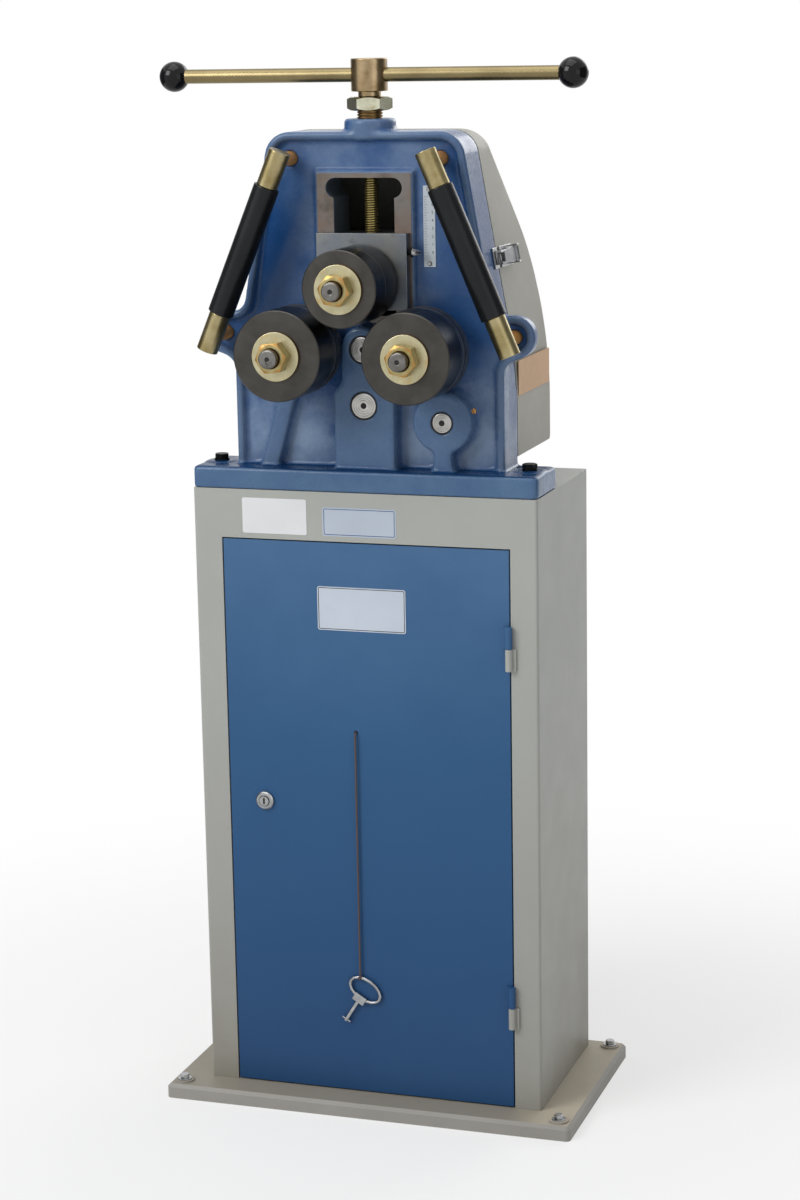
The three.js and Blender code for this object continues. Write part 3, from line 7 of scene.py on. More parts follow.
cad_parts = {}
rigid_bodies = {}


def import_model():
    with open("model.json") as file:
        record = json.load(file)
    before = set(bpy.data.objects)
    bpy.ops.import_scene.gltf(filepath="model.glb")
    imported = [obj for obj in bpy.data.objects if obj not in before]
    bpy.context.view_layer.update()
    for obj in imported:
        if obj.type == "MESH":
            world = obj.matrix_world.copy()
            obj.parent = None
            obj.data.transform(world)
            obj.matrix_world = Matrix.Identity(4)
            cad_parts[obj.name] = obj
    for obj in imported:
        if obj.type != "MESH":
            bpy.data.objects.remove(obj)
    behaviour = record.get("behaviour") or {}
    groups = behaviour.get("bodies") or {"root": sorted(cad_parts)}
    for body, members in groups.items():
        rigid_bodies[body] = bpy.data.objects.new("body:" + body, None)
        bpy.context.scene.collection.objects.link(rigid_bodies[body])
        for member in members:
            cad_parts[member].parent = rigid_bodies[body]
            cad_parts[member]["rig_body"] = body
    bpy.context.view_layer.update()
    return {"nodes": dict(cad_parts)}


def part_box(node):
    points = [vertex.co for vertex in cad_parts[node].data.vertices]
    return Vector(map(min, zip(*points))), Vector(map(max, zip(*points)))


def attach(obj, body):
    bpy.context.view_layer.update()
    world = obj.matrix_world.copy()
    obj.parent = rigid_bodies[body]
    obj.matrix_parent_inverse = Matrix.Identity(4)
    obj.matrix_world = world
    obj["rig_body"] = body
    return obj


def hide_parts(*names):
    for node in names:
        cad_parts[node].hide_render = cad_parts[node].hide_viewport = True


# Ring roller on its cabinet. Lengths are millimetres until a mesh is finished in metres.
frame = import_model()
nodes = frame["nodes"]
metre = 0.001
print("frame loaded,", len(nodes), "nodes")

# The camera and the key's cord come first
cameraSettings = {
    "place": (1131.8, -3390.6, 1424.0),
    "yaw": 18.347, "pitch": -11.963, "roll": -1.033,
    "focalPixels": 2747.7, "framePixels": 1200, "sensor": 36,
}


def linked(name, data):
    item = bpy.data.objects.new(name, data)
    bpy.context.scene.collection.objects.link(item)
    return item


def placeCamera():
    s = cameraSettings
    yaw, pitch, roll = (radians(s[k]) for k in ("yaw", "pitch", "roll"))
    ahead = Vector((-sin(yaw) * cos(pitch), cos(yaw) * cos(pitch), sin(pitch)))
    level = Vector((cos(yaw), sin(yaw), 0))
    rise = level.cross(ahead)
    right = level * cos(roll) + rise * sin(roll)
    up = rise * cos(roll) - level * sin(roll)
    lens = bpy.data.cameras.new("viewCamera")
    lens.sensor_width = s["sensor"]
    lens.lens = s["sensor"] * s["focalPixels"] / s["framePixels"]
    lens.clip_end = 100
    camera = linked("viewCamera", lens)
    turn = Matrix((right, up, -ahead)).transposed().to_4x4()
    turn.translation = Vector(s["place"]) * metre
    camera.matrix_world = turn
    bpy.context.scene.camera = camera


placeCamera()


# Small helpers for making pieces
def bodyOf(node):
    return nodes[node]["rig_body"]


# Lowest and highest corner of a node in millimetres
def spanOf(node):
    low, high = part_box(node)
    return Vector(low) / metre, Vector(high) / metre


def middleOf(node):
    return [(a + b) / 2 for a, b in zip(*spanOf(node))]


def meshOf(name, bm):
    mesh = bpy.data.meshes.new(name)
    bm.to_mesh(mesh)
    bm.free()
    return mesh


def evaluatedMesh(item):
    graph = bpy.context.evaluated_depsgraph_get()
    return bpy.data.meshes.new_from_object(item.evaluated_get(graph))


def finishPiece(name, bm, material, replaced=(), body=None, smooth=32):
    bmesh.ops.scale(bm, vec=(metre,) * 3, verts=bm.verts[:])
    mesh = meshOf(name, bm)
    mesh.shade_smooth()
    mesh.set_sharp_from_angle(angle=radians(smooth))
    for m in material if isinstance(material, list) else [material]:
        mesh.materials.append(m)
    piece = linked(name, mesh)
    if smooth < 180:
        even = piece.modifiers.new("evenNormals", "WEIGHTED_NORMAL")
        even.keep_sharp = True
    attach(piece, body or bodyOf(replaced[0]))
    if replaced:
        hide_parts(*replaced)
    return piece


def nodeCopy(node):
    bm = bmesh.new()
    bm.from_mesh(nodes[node].data)
    bmesh.ops.scale(bm, vec=(1 / metre,) * 3, verts=bm.verts[:])
    bmesh.ops.remove_doubles(bm, verts=bm.verts[:], dist=0.01)
    bmesh.ops.dissolve_limit(bm, angle_limit=radians(0.6), verts=bm.verts[:], edges=bm.edges[:])
    return bm


def roundOff(bm, edges, width, segments, clamp):
    bmesh.ops.bevel(bm, geom=edges, offset=width, offset_type="OFFSET", affect="EDGES",
                    segments=segments, profile=0.5, clamp_overlap=clamp, material=-1)
    return bm


def softEdges(bm, width, segments=2):
    sharp = [e for e in bm.edges if e.calc_face_angle(0) > radians(30)]
    return roundOff(bm, sharp, width, segments, True)


def facesOut(bm):
    bmesh.ops.recalc_face_normals(bm, faces=bm.faces[:])
    return bm


def addTo(bm, *others):
    for other in others:
        held = meshOf("held", other)
        bm.from_mesh(held)
        bpy.data.meshes.remove(held)


def moved(bm, place=(0, 0, 0), turn=None):
    if turn is not None:
        bmesh.ops.transform(bm, matrix=turn, verts=bm.verts[:])
    bmesh.ops.translate(bm, vec=Vector(place), verts=bm.verts[:])
    return bm


# Gives each face the material number that the rule returns for it
def tint(bm, rule):
    bm.normal_update()
    for f in bm.faces:
        f.material_index = int(rule(f))


def everything(bm):
    return bm.verts[:] + bm.edges[:] + bm.faces[:]


def cutAway(bm, place, outwards):
    return bmesh.ops.bisect_plane(bm, geom=everything(bm), plane_co=place, plane_no=outwards,
                                  clear_outer=True)["geom_cut"]


sides = (("left", -1), ("right", 1))
spinAxes = {
    "x": (lambda radius, along: (along, 0, radius), (1, 0, 0)),
    "y": (lambda radius, along: (radius, along, 0), (0, 1, 0)),
    "z": (lambda radius, along: (radius, 0, along), (0, 0, 1)),
}
axisTurns = {
    "x": Matrix.Rotation(radians(90), 4, "Y"),
    "y": Matrix.Rotation(radians(-90), 4, "X"),
    "z": Matrix.Identity(4),
}


# A full turn of what is in the mesh, closed and with its faces outwards
def spinRound(bm, axis, segments):
    bmesh.ops.spin(bm, geom=bm.verts[:] + bm.edges[:], cent=(0, 0, 0), axis=axis, angle=2 * pi,
                   steps=segments, use_merge=True)
    bmesh.ops.remove_doubles(bm, verts=bm.verts[:], dist=0.001)
    return facesOut(bm)


# A mesh with one line through points of radius and place along the axis
def outline(profile, axis):
    point = spinAxes[axis][0]
    bm = bmesh.new()
    chain = [bm.verts.new(point(radius, along)) for radius, along in profile]
    for pair in zip(chain, chain[1:]):
        bm.edges.new(pair)
    return bm


def lathe(profile, axis="y", centre=(0, 0, 0), segments=64):
    return moved(spinRound(outline(profile, axis), spinAxes[axis][1], segments), centre)


def tube(inner, outer, low, high, axis="y", centre=(0, 0, 0), edge=0.5, segments=64):
    profile = [(inner, low), (outer, low), (outer, high), (inner, high), (inner, low)]
    return softEdges(lathe(profile, axis, centre, segments), edge)


def rod(radius, low, high, axis="y", centre=(0, 0, 0), edge=0.5, segments=48):
    profile = [(0, low), (radius, low), (radius, high), (0, high)]
    return softEdges(lathe(profile, axis, centre, segments), edge)


def wireRing(radius, wire, centre, tilt):
    bm = bmesh.new()
    made = bmesh.ops.create_circle(bm, radius=wire, segments=12)["verts"]
    bmesh.ops.rotate(bm, verts=made, matrix=Matrix.Rotation(radians(90), 3, "X"))
    bmesh.ops.translate(bm, vec=(radius, 0, 0), verts=made)
    return moved(spinRound(bm, (0, 0, 1), 32), centre, tilt)


# Rings of points at given reach and level, bridged one to the next
def ringStack(rings, segments=72, closed=False, axis="z", centre=(0, 0, 0), turn=0):
    bm = bmesh.new()
    loops = []
    for reach, level in rings:
        made = bmesh.ops.create_circle(bm, radius=1, segments=segments)["verts"]
        for v in made:
            angle = atan2(v.co.y, v.co.x)
            r = reach(angle) if callable(reach) else reach
            z = level(angle) if callable(level) else level
            v.co = Vector((r * cos(angle), r * sin(angle), z))
        loops.append(list({e for v in made for e in v.link_edges}))
    pairs = list(zip(loops, loops[1:]))
    if closed:
        pairs.append((loops[-1], loops[0]))
    else:
        for loop in (loops[0], loops[-1]):
            bmesh.ops.contextual_create(bm, geom=loop)
    for first, second in pairs:
        bmesh.ops.bridge_loops(bm, edges=first + second)
    moved(facesOut(bm), turn=axisTurns[axis] @ Matrix.Rotation(radians(turn), 4, "Z"))
    return moved(bm, centre)


# A hexagon with its corners turned off, with or without a bore
def hexNut(flats, low, high, bore, axis="z", centre=(0, 0, 0), turn=0):
    half = flats / 2
    crown = half * 0.96
    chamfer = 1.2

    def reach(angle):
        return half / cos(angle % (pi / 3) - pi / 6)

    def drop(angle):
        return (reach(angle) - crown) * tan(radians(30))

    rings = [(crown, low), (reach, lambda a: low + drop(a)),
             (reach, lambda a: high - drop(a)), (crown, high)]
    if bore:
        lip = bore + chamfer
        rings = [(bore, low + chamfer), (lip, low)] + rings + [(lip, high), (bore, high - chamfer)]
    return ringStack(rings, closed=bool(bore), axis=axis, centre=centre, turn=turn)


# A screw thread with flat crests and roots, cut off square at both ends
def thread(radius, depth, pitch, low, high, centre):
    steps = 28
    turns = int((high - low) / pitch) + 2
    root, start = radius - depth, low - pitch
    profile = ((root, 0), (radius, 0.25), (radius, 0.55), (root, 0.8), (root, 1))
    bm = outline([(r, start + share * pitch) for r, share in profile], "z")
    bmesh.ops.spin(bm, geom=bm.verts[:] + bm.edges[:], cent=(0, 0, 0), axis=(0, 0, 1),
                   angle=2 * pi * turns, steps=steps * turns, dvec=(0, 0, pitch / steps))
    bmesh.ops.remove_doubles(bm, verts=bm.verts[:], dist=0.002)
    cutAway(bm, (0, 0, low), (0, 0, -1))
    cutAway(bm, (0, 0, high), (0, 0, 1))
    bmesh.ops.holes_fill(bm, edges=[e for e in bm.edges if e.is_boundary], sides=0)
    return moved(facesOut(bm), centre)


def slab(low, high, edge=0):
    bm = bmesh.new()
    bmesh.ops.create_cube(bm, size=1)
    size = [b - a for a, b in zip(low, high)]
    bmesh.ops.scale(bm, vec=size, verts=bm.verts[:])
    moved(bm, [(a + b) / 2 for a, b in zip(low, high)])
    return softEdges(bm, edge) if edge else bm


# A thin plate with round corners and a printed line inside its edge; normal axis 1 is y and 0 is x
def label(low, high, normal, corner, margin=0, line=0):
    bm = slab(low, high)
    along = [e for e in bm.edges
             if abs((e.verts[0].co - e.verts[1].co)[normal]) > 0.5 * (high[normal] - low[normal])]
    roundOff(bm, along, corner, 5, False)
    if line:
        bm.normal_update()
        face = max((f for f in bm.faces if f.normal[normal] < -0.9), key=lambda f: f.calc_area())
        bmesh.ops.inset_region(bm, faces=[face], thickness=margin, depth=0)
        for f in bmesh.ops.inset_region(bm, faces=[face], thickness=line, depth=0)["faces"]:
            f.material_index = 1
    return bm


# Shader node helpers
def feed(tree, socket, value):
    if isinstance(value, bpy.types.NodeSocket):
        tree.links.new(value, socket)
    else:
        socket.default_value = value


def addNode(tree, kind, values=None, **settings):
    node = tree.nodes.new("ShaderNode" + kind)
    for key, value in settings.items():
        setattr(node, key, value)
    for key, value in (values or {}).items():
        feed(tree, node.inputs[key], value)
    return node


def mathOf(tree, operation, *values):
    return addNode(tree, "Math", dict(enumerate(values)), operation=operation).outputs[0]


def rangeOf(tree, value, source=(0.0, 1.0), target=(0.0, 1.0), kind="LINEAR"):
    ends = {"From Min": source[0], "From Max": source[1], "To Min": target[0], "To Max": target[1]}
    return addNode(tree, "MapRange", {"Value": value, **ends}, interpolation_type=kind).outputs[0]


def noiseOf(tree, place, scale, detail=2.0, **more):
    return addNode(tree, "TexNoise", {"Vector": place, "Scale": scale, "Detail": detail, **more}).outputs[0]


def colourOf(code, alpha=1):
    parts = [int(code[i:i + 2], 16) / 255 for i in (0, 2, 4)]
    return [p / 12.92 if p <= 0.04045 else ((p + 0.055) / 1.055) ** 2.4 for p in parts] + [alpha]


def effectGroup(name, inputs, build):
    group = bpy.data.node_groups.new(name, "ShaderNodeTree")
    for title, kind, value in inputs:
        socket = group.interface.new_socket(title, in_out="INPUT", socket_type="NodeSocket" + kind)
        if value is not None:
            socket.default_value = value
    group.interface.new_socket("Factor", in_out="OUTPUT", socket_type="NodeSocketFloat")
    entry = group.nodes.new("NodeGroupInput")
    leave = group.nodes.new("NodeGroupOutput")
    group.links.new(build(group, entry.outputs), leave.inputs["Factor"])
    return group


def useGroup(tree, group, values):
    return addNode(tree, "Group", values, node_tree=group).outputs[0]


# Cloudy patches between 0 and 1
def mottleNodes(tree, given):
    noise = noiseOf(tree, given["Vector"], given["Scale"], 5.0, Roughness=0.6)
    return rangeOf(tree, noise, (given["Low"], given["High"]))


# Fine lines along one direction, set by how far each axis is squeezed
def grainNodes(tree, given):
    stretch = addNode(tree, "VectorMath", {0: given["Vector"], 1: given["Stretch"]}, operation="MULTIPLY")
    return noiseOf(tree, stretch.outputs[0], 1.0, 6.0, Roughness=0.65)


# Height of hand-filled cast iron under paint: broad waves, filler marks and grit
def castNodes(tree, given):
    place = given["Vector"]
    marks = noiseOf(tree, place, 90.0, 3.0, Distortion=0.8)
    grit = addNode(tree, "TexVoronoi", {"Vector": place, "Scale": 360.0}).outputs[0]
    height = mathOf(tree, "MULTIPLY", noiseOf(tree, place, 24.0), 1.6)
    height = mathOf(tree, "MULTIPLY_ADD", marks, given["Marks"], height)
    return mathOf(tree, "MULTIPLY_ADD", grit, given["Grit"], height)


vectorInput = ("Vector", "Vector", None)
mottle = effectGroup("mottle", [vectorInput, ("Scale", "Float", 20.0), ("Low", "Float", 0.35),
                                ("High", "Float", 0.65)], mottleNodes)
grain = effectGroup("grain", [vectorInput, ("Stretch", "Vector", (1, 1, 1))], grainNodes)
castHeight = effectGroup("castHeight", [vectorInput, ("Marks", "Float", 0.3),
                                        ("Grit", "Float", 0.04)], castNodes)


# Material makers, with the depth in millimetres of each kind of bump
bumpDepth = {"cast": 1.2, "paint": 0.3, "grain": 0.2}


def startMaterial(name, colour, inputs):
    material = bpy.data.materials.new(name)
    material.use_nodes = True
    tree = material.node_tree
    shader = tree.nodes["Principled BSDF"]
    for key, value in inputs.items():
        shader.inputs[key].default_value = value
    material.diffuse_color = colourOf(colour)
    place = addNode(tree, "TexCoord").outputs["Object"]
    return material, tree, shader, place


def blendColours(tree, factor, first, second):
    node = addNode(tree, "Mix", {"Factor": factor}, data_type="RGBA")
    feed(tree, node.inputs[6], first)
    feed(tree, node.inputs[7], second)
    return node.outputs[2]


def bumpOn(tree, shader, height, strength, kind):
    depth = bumpDepth[kind] * metre
    bump = addNode(tree, "Bump", {"Height": height, "Strength": strength, "Distance": depth})
    tree.links.new(bump.outputs[0], shader.inputs["Normal"])


# Colours that change along one axis, each at its own place in metres; the scene uses them for painted light
# and painted shade
def colourRamp(tree, place, axis, stops):
    first, last = stops[0][0], stops[-1][0]
    split = addNode(tree, "SeparateXYZ", {"Vector": place}).outputs
    ramp = addNode(tree, "ValToRGB", {0: rangeOf(tree, split[axis], (first, last))})
    elements = ramp.color_ramp.elements
    for element, (at, code) in zip(elements, (stops[0], stops[-1])):
        element.position = (at - first) / (last - first)
        element.color = colourOf(code)
    for at, code in stops[1:-1]:
        elements.new((at - first) / (last - first)).color = colourOf(code)
    return ramp.outputs[0]


# A patchy grey painted sheen, a painted reflection, behind a given depth that grows stronger towards a level
# below
def paintedSheenOver(tree, place, colour, v):
    cloud = useGroup(tree, mottle, {"Vector": place, "Scale": v["scale"], "Low": 0.32, "High": 0.62})
    x, y, z = addNode(tree, "SeparateXYZ", {"Vector": place}).outputs
    level = rangeOf(tree, z, v["levels"], v["strengths"], "SMOOTHSTEP")
    near = rangeOf(tree, mathOf(tree, "ABSOLUTE", x), v["sides"], (v["near"], 0.0), "SMOOTHSTEP")
    amount = mathOf(tree, "MULTIPLY", cloud, mathOf(tree, "MAXIMUM", near, level))
    amount = mathOf(tree, "MULTIPLY", amount, rangeOf(tree, y, v["front"]))
    return blendColours(tree, amount, colour, colourOf(v["colour"]))


# Paint with cloudy colour, uneven gloss and a skin of fine waves, and at will a ramp of painted light and
# shade along one axis, a painted sheen and painted shade in the hollows
def enamel(name, colour, second, patches, rough, **more):
    s = {"share": 1, "waves": 260, "waveStrength": 0.12, "gloss": 0.5, "coat": (0, 0.03), **more}
    weight, coatRough = s["coat"]
    material, tree, shader, place = startMaterial(name, colour, {
        "Specular IOR Level": s["gloss"], "Coat Weight": weight, "Coat Roughness": coatRough})
    cloud = useGroup(tree, mottle, {"Vector": place, "Scale": patches})
    if s["share"] < 1:
        cloud = rangeOf(tree, cloud, target=(0.0, s["share"]))
    # the ramp is painted light and painted shade along one axis
    base = colourRamp(tree, place, *s["ramp"]) if "ramp" in s else colourOf(colour)
    tone = blendColours(tree, cloud, base, colourOf(second))
    # painted sheen: patches of grey painted reflection laid over the colour
    if "veil" in s:
        tone = paintedSheenOver(tree, place, tone, s["veil"])
    # hollows take a deeper colour by Pointiness: painted shade there, also standing for enamel pooled in the
    # corners
    if "crevice" in s:
        shade, hollow = s["crevice"]
        edge = rangeOf(tree, addNode(tree, "NewGeometry").outputs["Pointiness"], hollow)
        tone = blendColours(tree, edge, colourOf(shade), tone)
    tree.links.new(tone, shader.inputs["Base Color"])
    fine = useGroup(tree, mottle, {"Vector": place, "Scale": patches * 6, "Low": 0.3, "High": 0.7})
    tree.links.new(rangeOf(tree, fine, target=rough), shader.inputs["Roughness"])
    if "cast" in s:
        marks, grit = s["cast"]
        height = useGroup(tree, castHeight, {"Vector": place, "Marks": marks, "Grit": grit})
        bumpOn(tree, shader, height, s["waveStrength"], "cast")
    else:
        bumpOn(tree, shader, noiseOf(tree, place, s["waves"]), s["waveStrength"], "paint")
    return material


# Metal with patches of a second tone, and a grain that breaks up its gloss
def metal(name, colour, second, patches, rough, **more):
    s = {"stretch": (900, 900, 900), "streak": 0.25, "grain": 0.15, "metallic": 1.0, **more}
    material, tree, shader, place = startMaterial(name, colour, {"Metallic": s["metallic"]})
    cloud = useGroup(tree, mottle, {"Vector": place, "Scale": patches})
    tone = blendColours(tree, cloud, colourOf(colour), colourOf(second))
    lines = useGroup(tree, grain, {"Vector": place, "Stretch": s["stretch"]})
    tone = blendColours(tree, rangeOf(tree, lines, target=(0.0, s["streak"])), tone, colourOf(second))
    if "stain" in s:
        stain, scale = s["stain"]
        spots = useGroup(tree, mottle, {"Vector": place, "Scale": scale, "Low": 0.56, "High": 0.72})
        tone = blendColours(tree, spots, tone, colourOf(stain))
    tree.links.new(tone, shader.inputs["Base Color"])
    tree.links.new(rangeOf(tree, lines, target=rough), shader.inputs["Roughness"])
    bumpOn(tree, shader, lines, s["grain"], "grain")
    return material


# Paints: colour, second colour, scale of the patches, range of roughness, then what differs
# The casting's ramp along y paints the proud front faces lighter and greyer as painted sheen and the recessed
# panel deep blue as painted shade
blueCast = enamel(
    "blueCastEnamel", "1f4b82", "34547f", 9, (0.18, 0.36), share=0.6,
    ramp=(1, ((-0.1255, "547191"), (-0.0935, "5c7290"), (-0.088, "1a477e"), (-0.03, "1f4b82"))),
    veil={"colour": "8297b2", "scale": 13, "levels": (1.04, 0.95), "strengths": (0.05, 0.9),
          "front": (-0.094, -0.09), "sides": (0.07, 0.125), "near": 0.5},
    crevice=("154579", (0.455, 0.495)), cast=(0.5, 0.015), waveStrength=0.4, gloss=0.2, coat=(0.15, 0.08))
# a darker copy of the casting blue for the top of the foot: painted shade
blueLedgeShaded = enamel("blueLedgePaintedShade", "183f6a", "14365e", 12, (0.2, 0.36), cast=(0.4, 0.03),
                   waveStrength=0.4, gloss=0.08, coat=(0.1, 0.08))
# the door's blue is lighter and greyer towards the top as painted sheen and darker low down as painted shade
blueSheet = enamel(
    "blueDoorEnamel", "2b547e", "2a517a", 5, (0.38, 0.48), share=0.4,
    ramp=(2, ((0.02, "20446e"), (0.25, "274e79"), (0.5, "2f5983"), (0.76, "4c6f96"))),
    waves=420, waveStrength=0.1, gloss=0.22)
# the cabinet's grey turns darker and warmer towards the floor: painted shade
greySheet = enamel(
    "greyCabinetEnamel", "a8aaa5", "a0a29d", 4, (0.4, 0.5), share=0.6,
    ramp=(2, ((0.02, "8a867b"), (0.25, "9a9994"), (0.6, "a8aaa5"), (0.83, "abada8"))),
    waves=380, waveStrength=0.08, gloss=0.35)
greyCover = enamel("greyCoverEnamel", "a4a298", "9b9a91", 5, (0.42, 0.52), waves=380, waveStrength=0.1,
                   gloss=0.35)
greyBase = enamel("warmGreyEnamel", "9b9892", "93908a", 6, (0.5, 0.6), waves=300, gloss=0.3)
# the base's top faces take their own copy of the warm grey, darker in front of the cabinet as painted shade
# and lighter beyond its side as painted light
greyTopPaintedLight = enamel(
    "warmGreyTopPaintedLight", "938d81", "8b857a", 6, (0.45, 0.55), share=0.3,
    ramp=(0, ((0.19, "938d81"), (0.245, "b2a997"))), waves=300, gloss=0.3)
# machined iron inside the window, given a dark tone as painted shade
ironPaintedShade = enamel("machinedIronPaintedShade", "4b535b", "3c434a", 30, (0.4, 0.5), waves=300, waveStrength=0.1)
blackBall = enamel("blackBallPlastic", "0c0c0f", "101013", 30, (0.08, 0.14), waves=200, waveStrength=0.01,
                   gloss=0.24)
blackTube = enamel("blackTubePaint", "0f1113", "15171a", 16, (0.26, 0.36), waves=500, waveStrength=0.05,
                   gloss=0.24)
plateSkin = {"waves": 150, "waveStrength": 0.04}
whitePaint = enamel("whiteSticker", "e0e2e4", "d9dbdd", 8, (0.35, 0.45), **plateSkin)
coolWhite = enamel("coolWhitePlate", "c6cfdb", "bcc6d3", 8, (0.3, 0.4), **plateSkin)
paleBlue = enamel("paleBluePlate", "b9c3cf", "afb9c6", 8, (0.3, 0.4), **plateSkin)
amberPaint = enamel("amberSticker", "c79a68", "bd8f5c", 12, (0.35, 0.45), **plateSkin)
scalePaint = enamel("whiteScalePaint", "c3ccd2", "b9c3ca", 40, (0.35, 0.5), waves=200, waveStrength=0.05)
blueInk = enamel("blueInk", "33507f", "3a5787", 60, (0.4, 0.5))
blackInk = enamel("blackInk", "1b1b1e", "29292c", 60, (0.5, 0.6))
# near black for holes, slits, gaps and screw-head rims: painted shade
holePaintedShade = enamel("holePaintedShade", "0b0a0a", "141211", 60, (0.7, 0.8))
cordFibre = enamel("brownCordFibre", "4a4040", "5c4c48", 700, (0.8, 0.95), waves=1800, waveStrength=0.6)

# Metals, in the same order
yellowZinc = metal("yellowZinc", "b09c7c", "846f50", 45, (0.22, 0.36), stretch=(1500, 1500, 60), streak=0.5,
                   grain=0.06)
paleZinc = metal("paleYellowZinc", "d9d8c2", "b3b298", 45, (0.14, 0.28), stain=("a08a62", 50), grain=0.06)
zincNut = metal("yellowZincNut", "aea67e", "93824f", 60, (0.25, 0.4), stain=("a9824f", 80), grain=0.08)
zincWasher = metal("yellowZincWasher", "bdb697", "a8a180", 40, (0.28, 0.42), stain=("b39c66", 45),
                   grain=0.08)
zincRim = metal("orangeZincRim", "b78d52", "957040", 60, (0.28, 0.42))
brushedZinc = metal("brushedYellowZinc", "887b5a", "75694c", 12, (0.29, 0.33), stretch=(12, 500, 500),
                    grain=0.01)
screwZinc = metal("screwYellowZinc", "b7a866", "9c8c50", 30, (0.22, 0.3), grain=0.02, metallic=0.8)
# darker zinc for the thread roots and flanks: painted shade
screwRootShaded = metal("screwRootPaintedShade", "6b5a33", "57492a", 30, (0.35, 0.5), grain=0.05, metallic=0.6)
studZinc = metal("orangeStudZinc", "dba252", "bd8342", 60, (0.35, 0.5), grain=0.05, metallic=0.3)
threadZinc = metal("brownThreadZinc", "a08353", "7a6240", 60, (0.3, 0.45))
guideZinc = metal("guideYellowZinc", "aca17c", "8c7d54", 40, (0.24, 0.38), stretch=(900, 900, 120),
                  streak=0.3, grain=0.06)
brightSteel = metal("brightSteel", "b4b5b6", "929394", 60, (0.18, 0.34))
dullZinc = metal("dullZinc", "8e8f90", "7d7e80", 80, (0.4, 0.55))
turnedSteel = metal("turnedSteel", "7f7d7a", "625f5b", 40, (0.25, 0.42), stain=("4e4a46", 60))
shaftEnd = metal("shaftEndSteel", "c4c3c0", "a3a19d", 50, (0.22, 0.36))
groundSteel = metal("groundSteel", "7f7f7b", "6a7078", 24, (0.34, 0.46), stretch=(1400, 1400, 90),
                    stain=("5b5c5e", 38))
bareCastIron = metal("bareCastIron", "6d6c6a", "706259", 26, (0.34, 0.46), stretch=(120, 900, 1500),
                     stain=("57524c", 34))
darkRoller = metal("burnishedRoller", "363a41", "2a2e34", 35, (0.3, 0.42), stretch=(700, 120, 700),
                   grain=0.08)
rollerFace = metal("turnedRollerFace", "4c4a47", "413f3c", 40, (0.36, 0.48), stretch=(900, 120, 900),
                   grain=0.1)
knurlSteel = metal("knurledRoller", "7e8388", "4c5055", 40, (0.3, 0.42))
blackOxide = metal("blackOxide", "1d1f20", "151617", 60, (0.35, 0.5), grain=0.05)
gearSteel = metal("gearSteel", "6d6d70", "5c5b60", 40, (0.3, 0.5), stain=("4d4943", 60))
bronze = metal("bearingBronze", "a8834a", "8f6c3a", 50, (0.3, 0.45))
print("materials ready")

# Key cord
cordSettings = {
    "start": (-14.6, -118.25, 515.4), "door": (-14.6, -125.25, 515.4), "corner": (-14.6, -129.25, 515.4),
    "drop": (-14.6, -129.25, 508.8), "end": (-14.6, -129.25, 185.45), "diameter": 2.8,
    "knot": (-14.6, -129.25, 181.7), "knotRing": 2.5, "knotWire": 0.8, "knotTilt": 148, "knotTwist": 28,
    "hangSteps": 14, "keyEdge": 0.55,
}


def cordRoute():
    s = cordSettings
    start, door, corner, drop, end = (Vector(s[k]) for k in ("start", "door", "corner", "drop", "end"))
    bend = [door.lerp(corner, t).lerp(corner.lerp(drop, t), t) for t in (0.2, 0.4, 0.6, 0.8)]
    hang = [drop.lerp(end, i / s["hangSteps"]) for i in range(s["hangSteps"] + 1)]
    return [start, door, *bend, *hang]


def makeCord():
    s = cordSettings
    route = cordRoute()
    curve = bpy.data.curves.new("keyCord", "CURVE")
    curve.dimensions = "3D"
    curve.bevel_depth = s["diameter"] / 2 * metre
    curve.bevel_resolution = 3
    curve.use_fill_caps = True
    spline = curve.splines.new("POLY")
    spline.points.add(len(route) - 1)
    for point, place in zip(spline.points, route):
        point.co = (*(place * metre), 1)
    curve.materials.append(cordFibre)
    cord = linked("keyCord", curve)
    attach(cord, bodyOf("key_cord"))
    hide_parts("key_cord")
    # the knot wraps the bow twice where the key hangs
    wire = s["diameter"] / 2 * s["knotWire"]
    knot = bmesh.new()
    for twist in (-s["knotTwist"], s["knotTwist"]):
        turn = Matrix.Rotation(radians(s["knotTilt"]), 4, "Y") @ Matrix.Rotation(radians(twist), 4, "X")
        addTo(knot, wireRing(s["knotRing"], wire, s["knot"], turn))
    finishPiece("cordKnot", knot, cordFibre, body=bodyOf("key_cord"))


def softCopy(name, node, material, edge, segments=2):
    return finishPiece(name, softEdges(nodeCopy(node), edge, segments), material, [node])


softCopy("cabinetKey", "cabinet_key", brightSteel, cordSettings["keyEdge"])
makeCord()
print("cord and key made")

# Stand
standSettings = {"plateEdge": 0.7, "shellEdge": 1.0, "doorEdge": 0.6, "inset": 19.3, "flats": 10.5,
                 "head": 5.5, "washer": 9.5, "washerHeight": 1.4, "washerEdge": 0.3, "bore": 4.6}
plateSettings = {
    "thick": 0.5,
    "sticker": {"x": (-164, -75.8), "z": (774.3, 820.7), "corner": 2.5, "margin": 0, "line": 0},
    "nameplate": {"x": (-54.1, 45.3), "z": (774.3, 811.9), "corner": 3.4, "margin": 1.7, "line": 1.0},
    "doorplate": {"x": (-63.6, 56.3), "z": (650.6, 708.1), "corner": 3.0, "margin": 1.3, "line": 1.0},
}


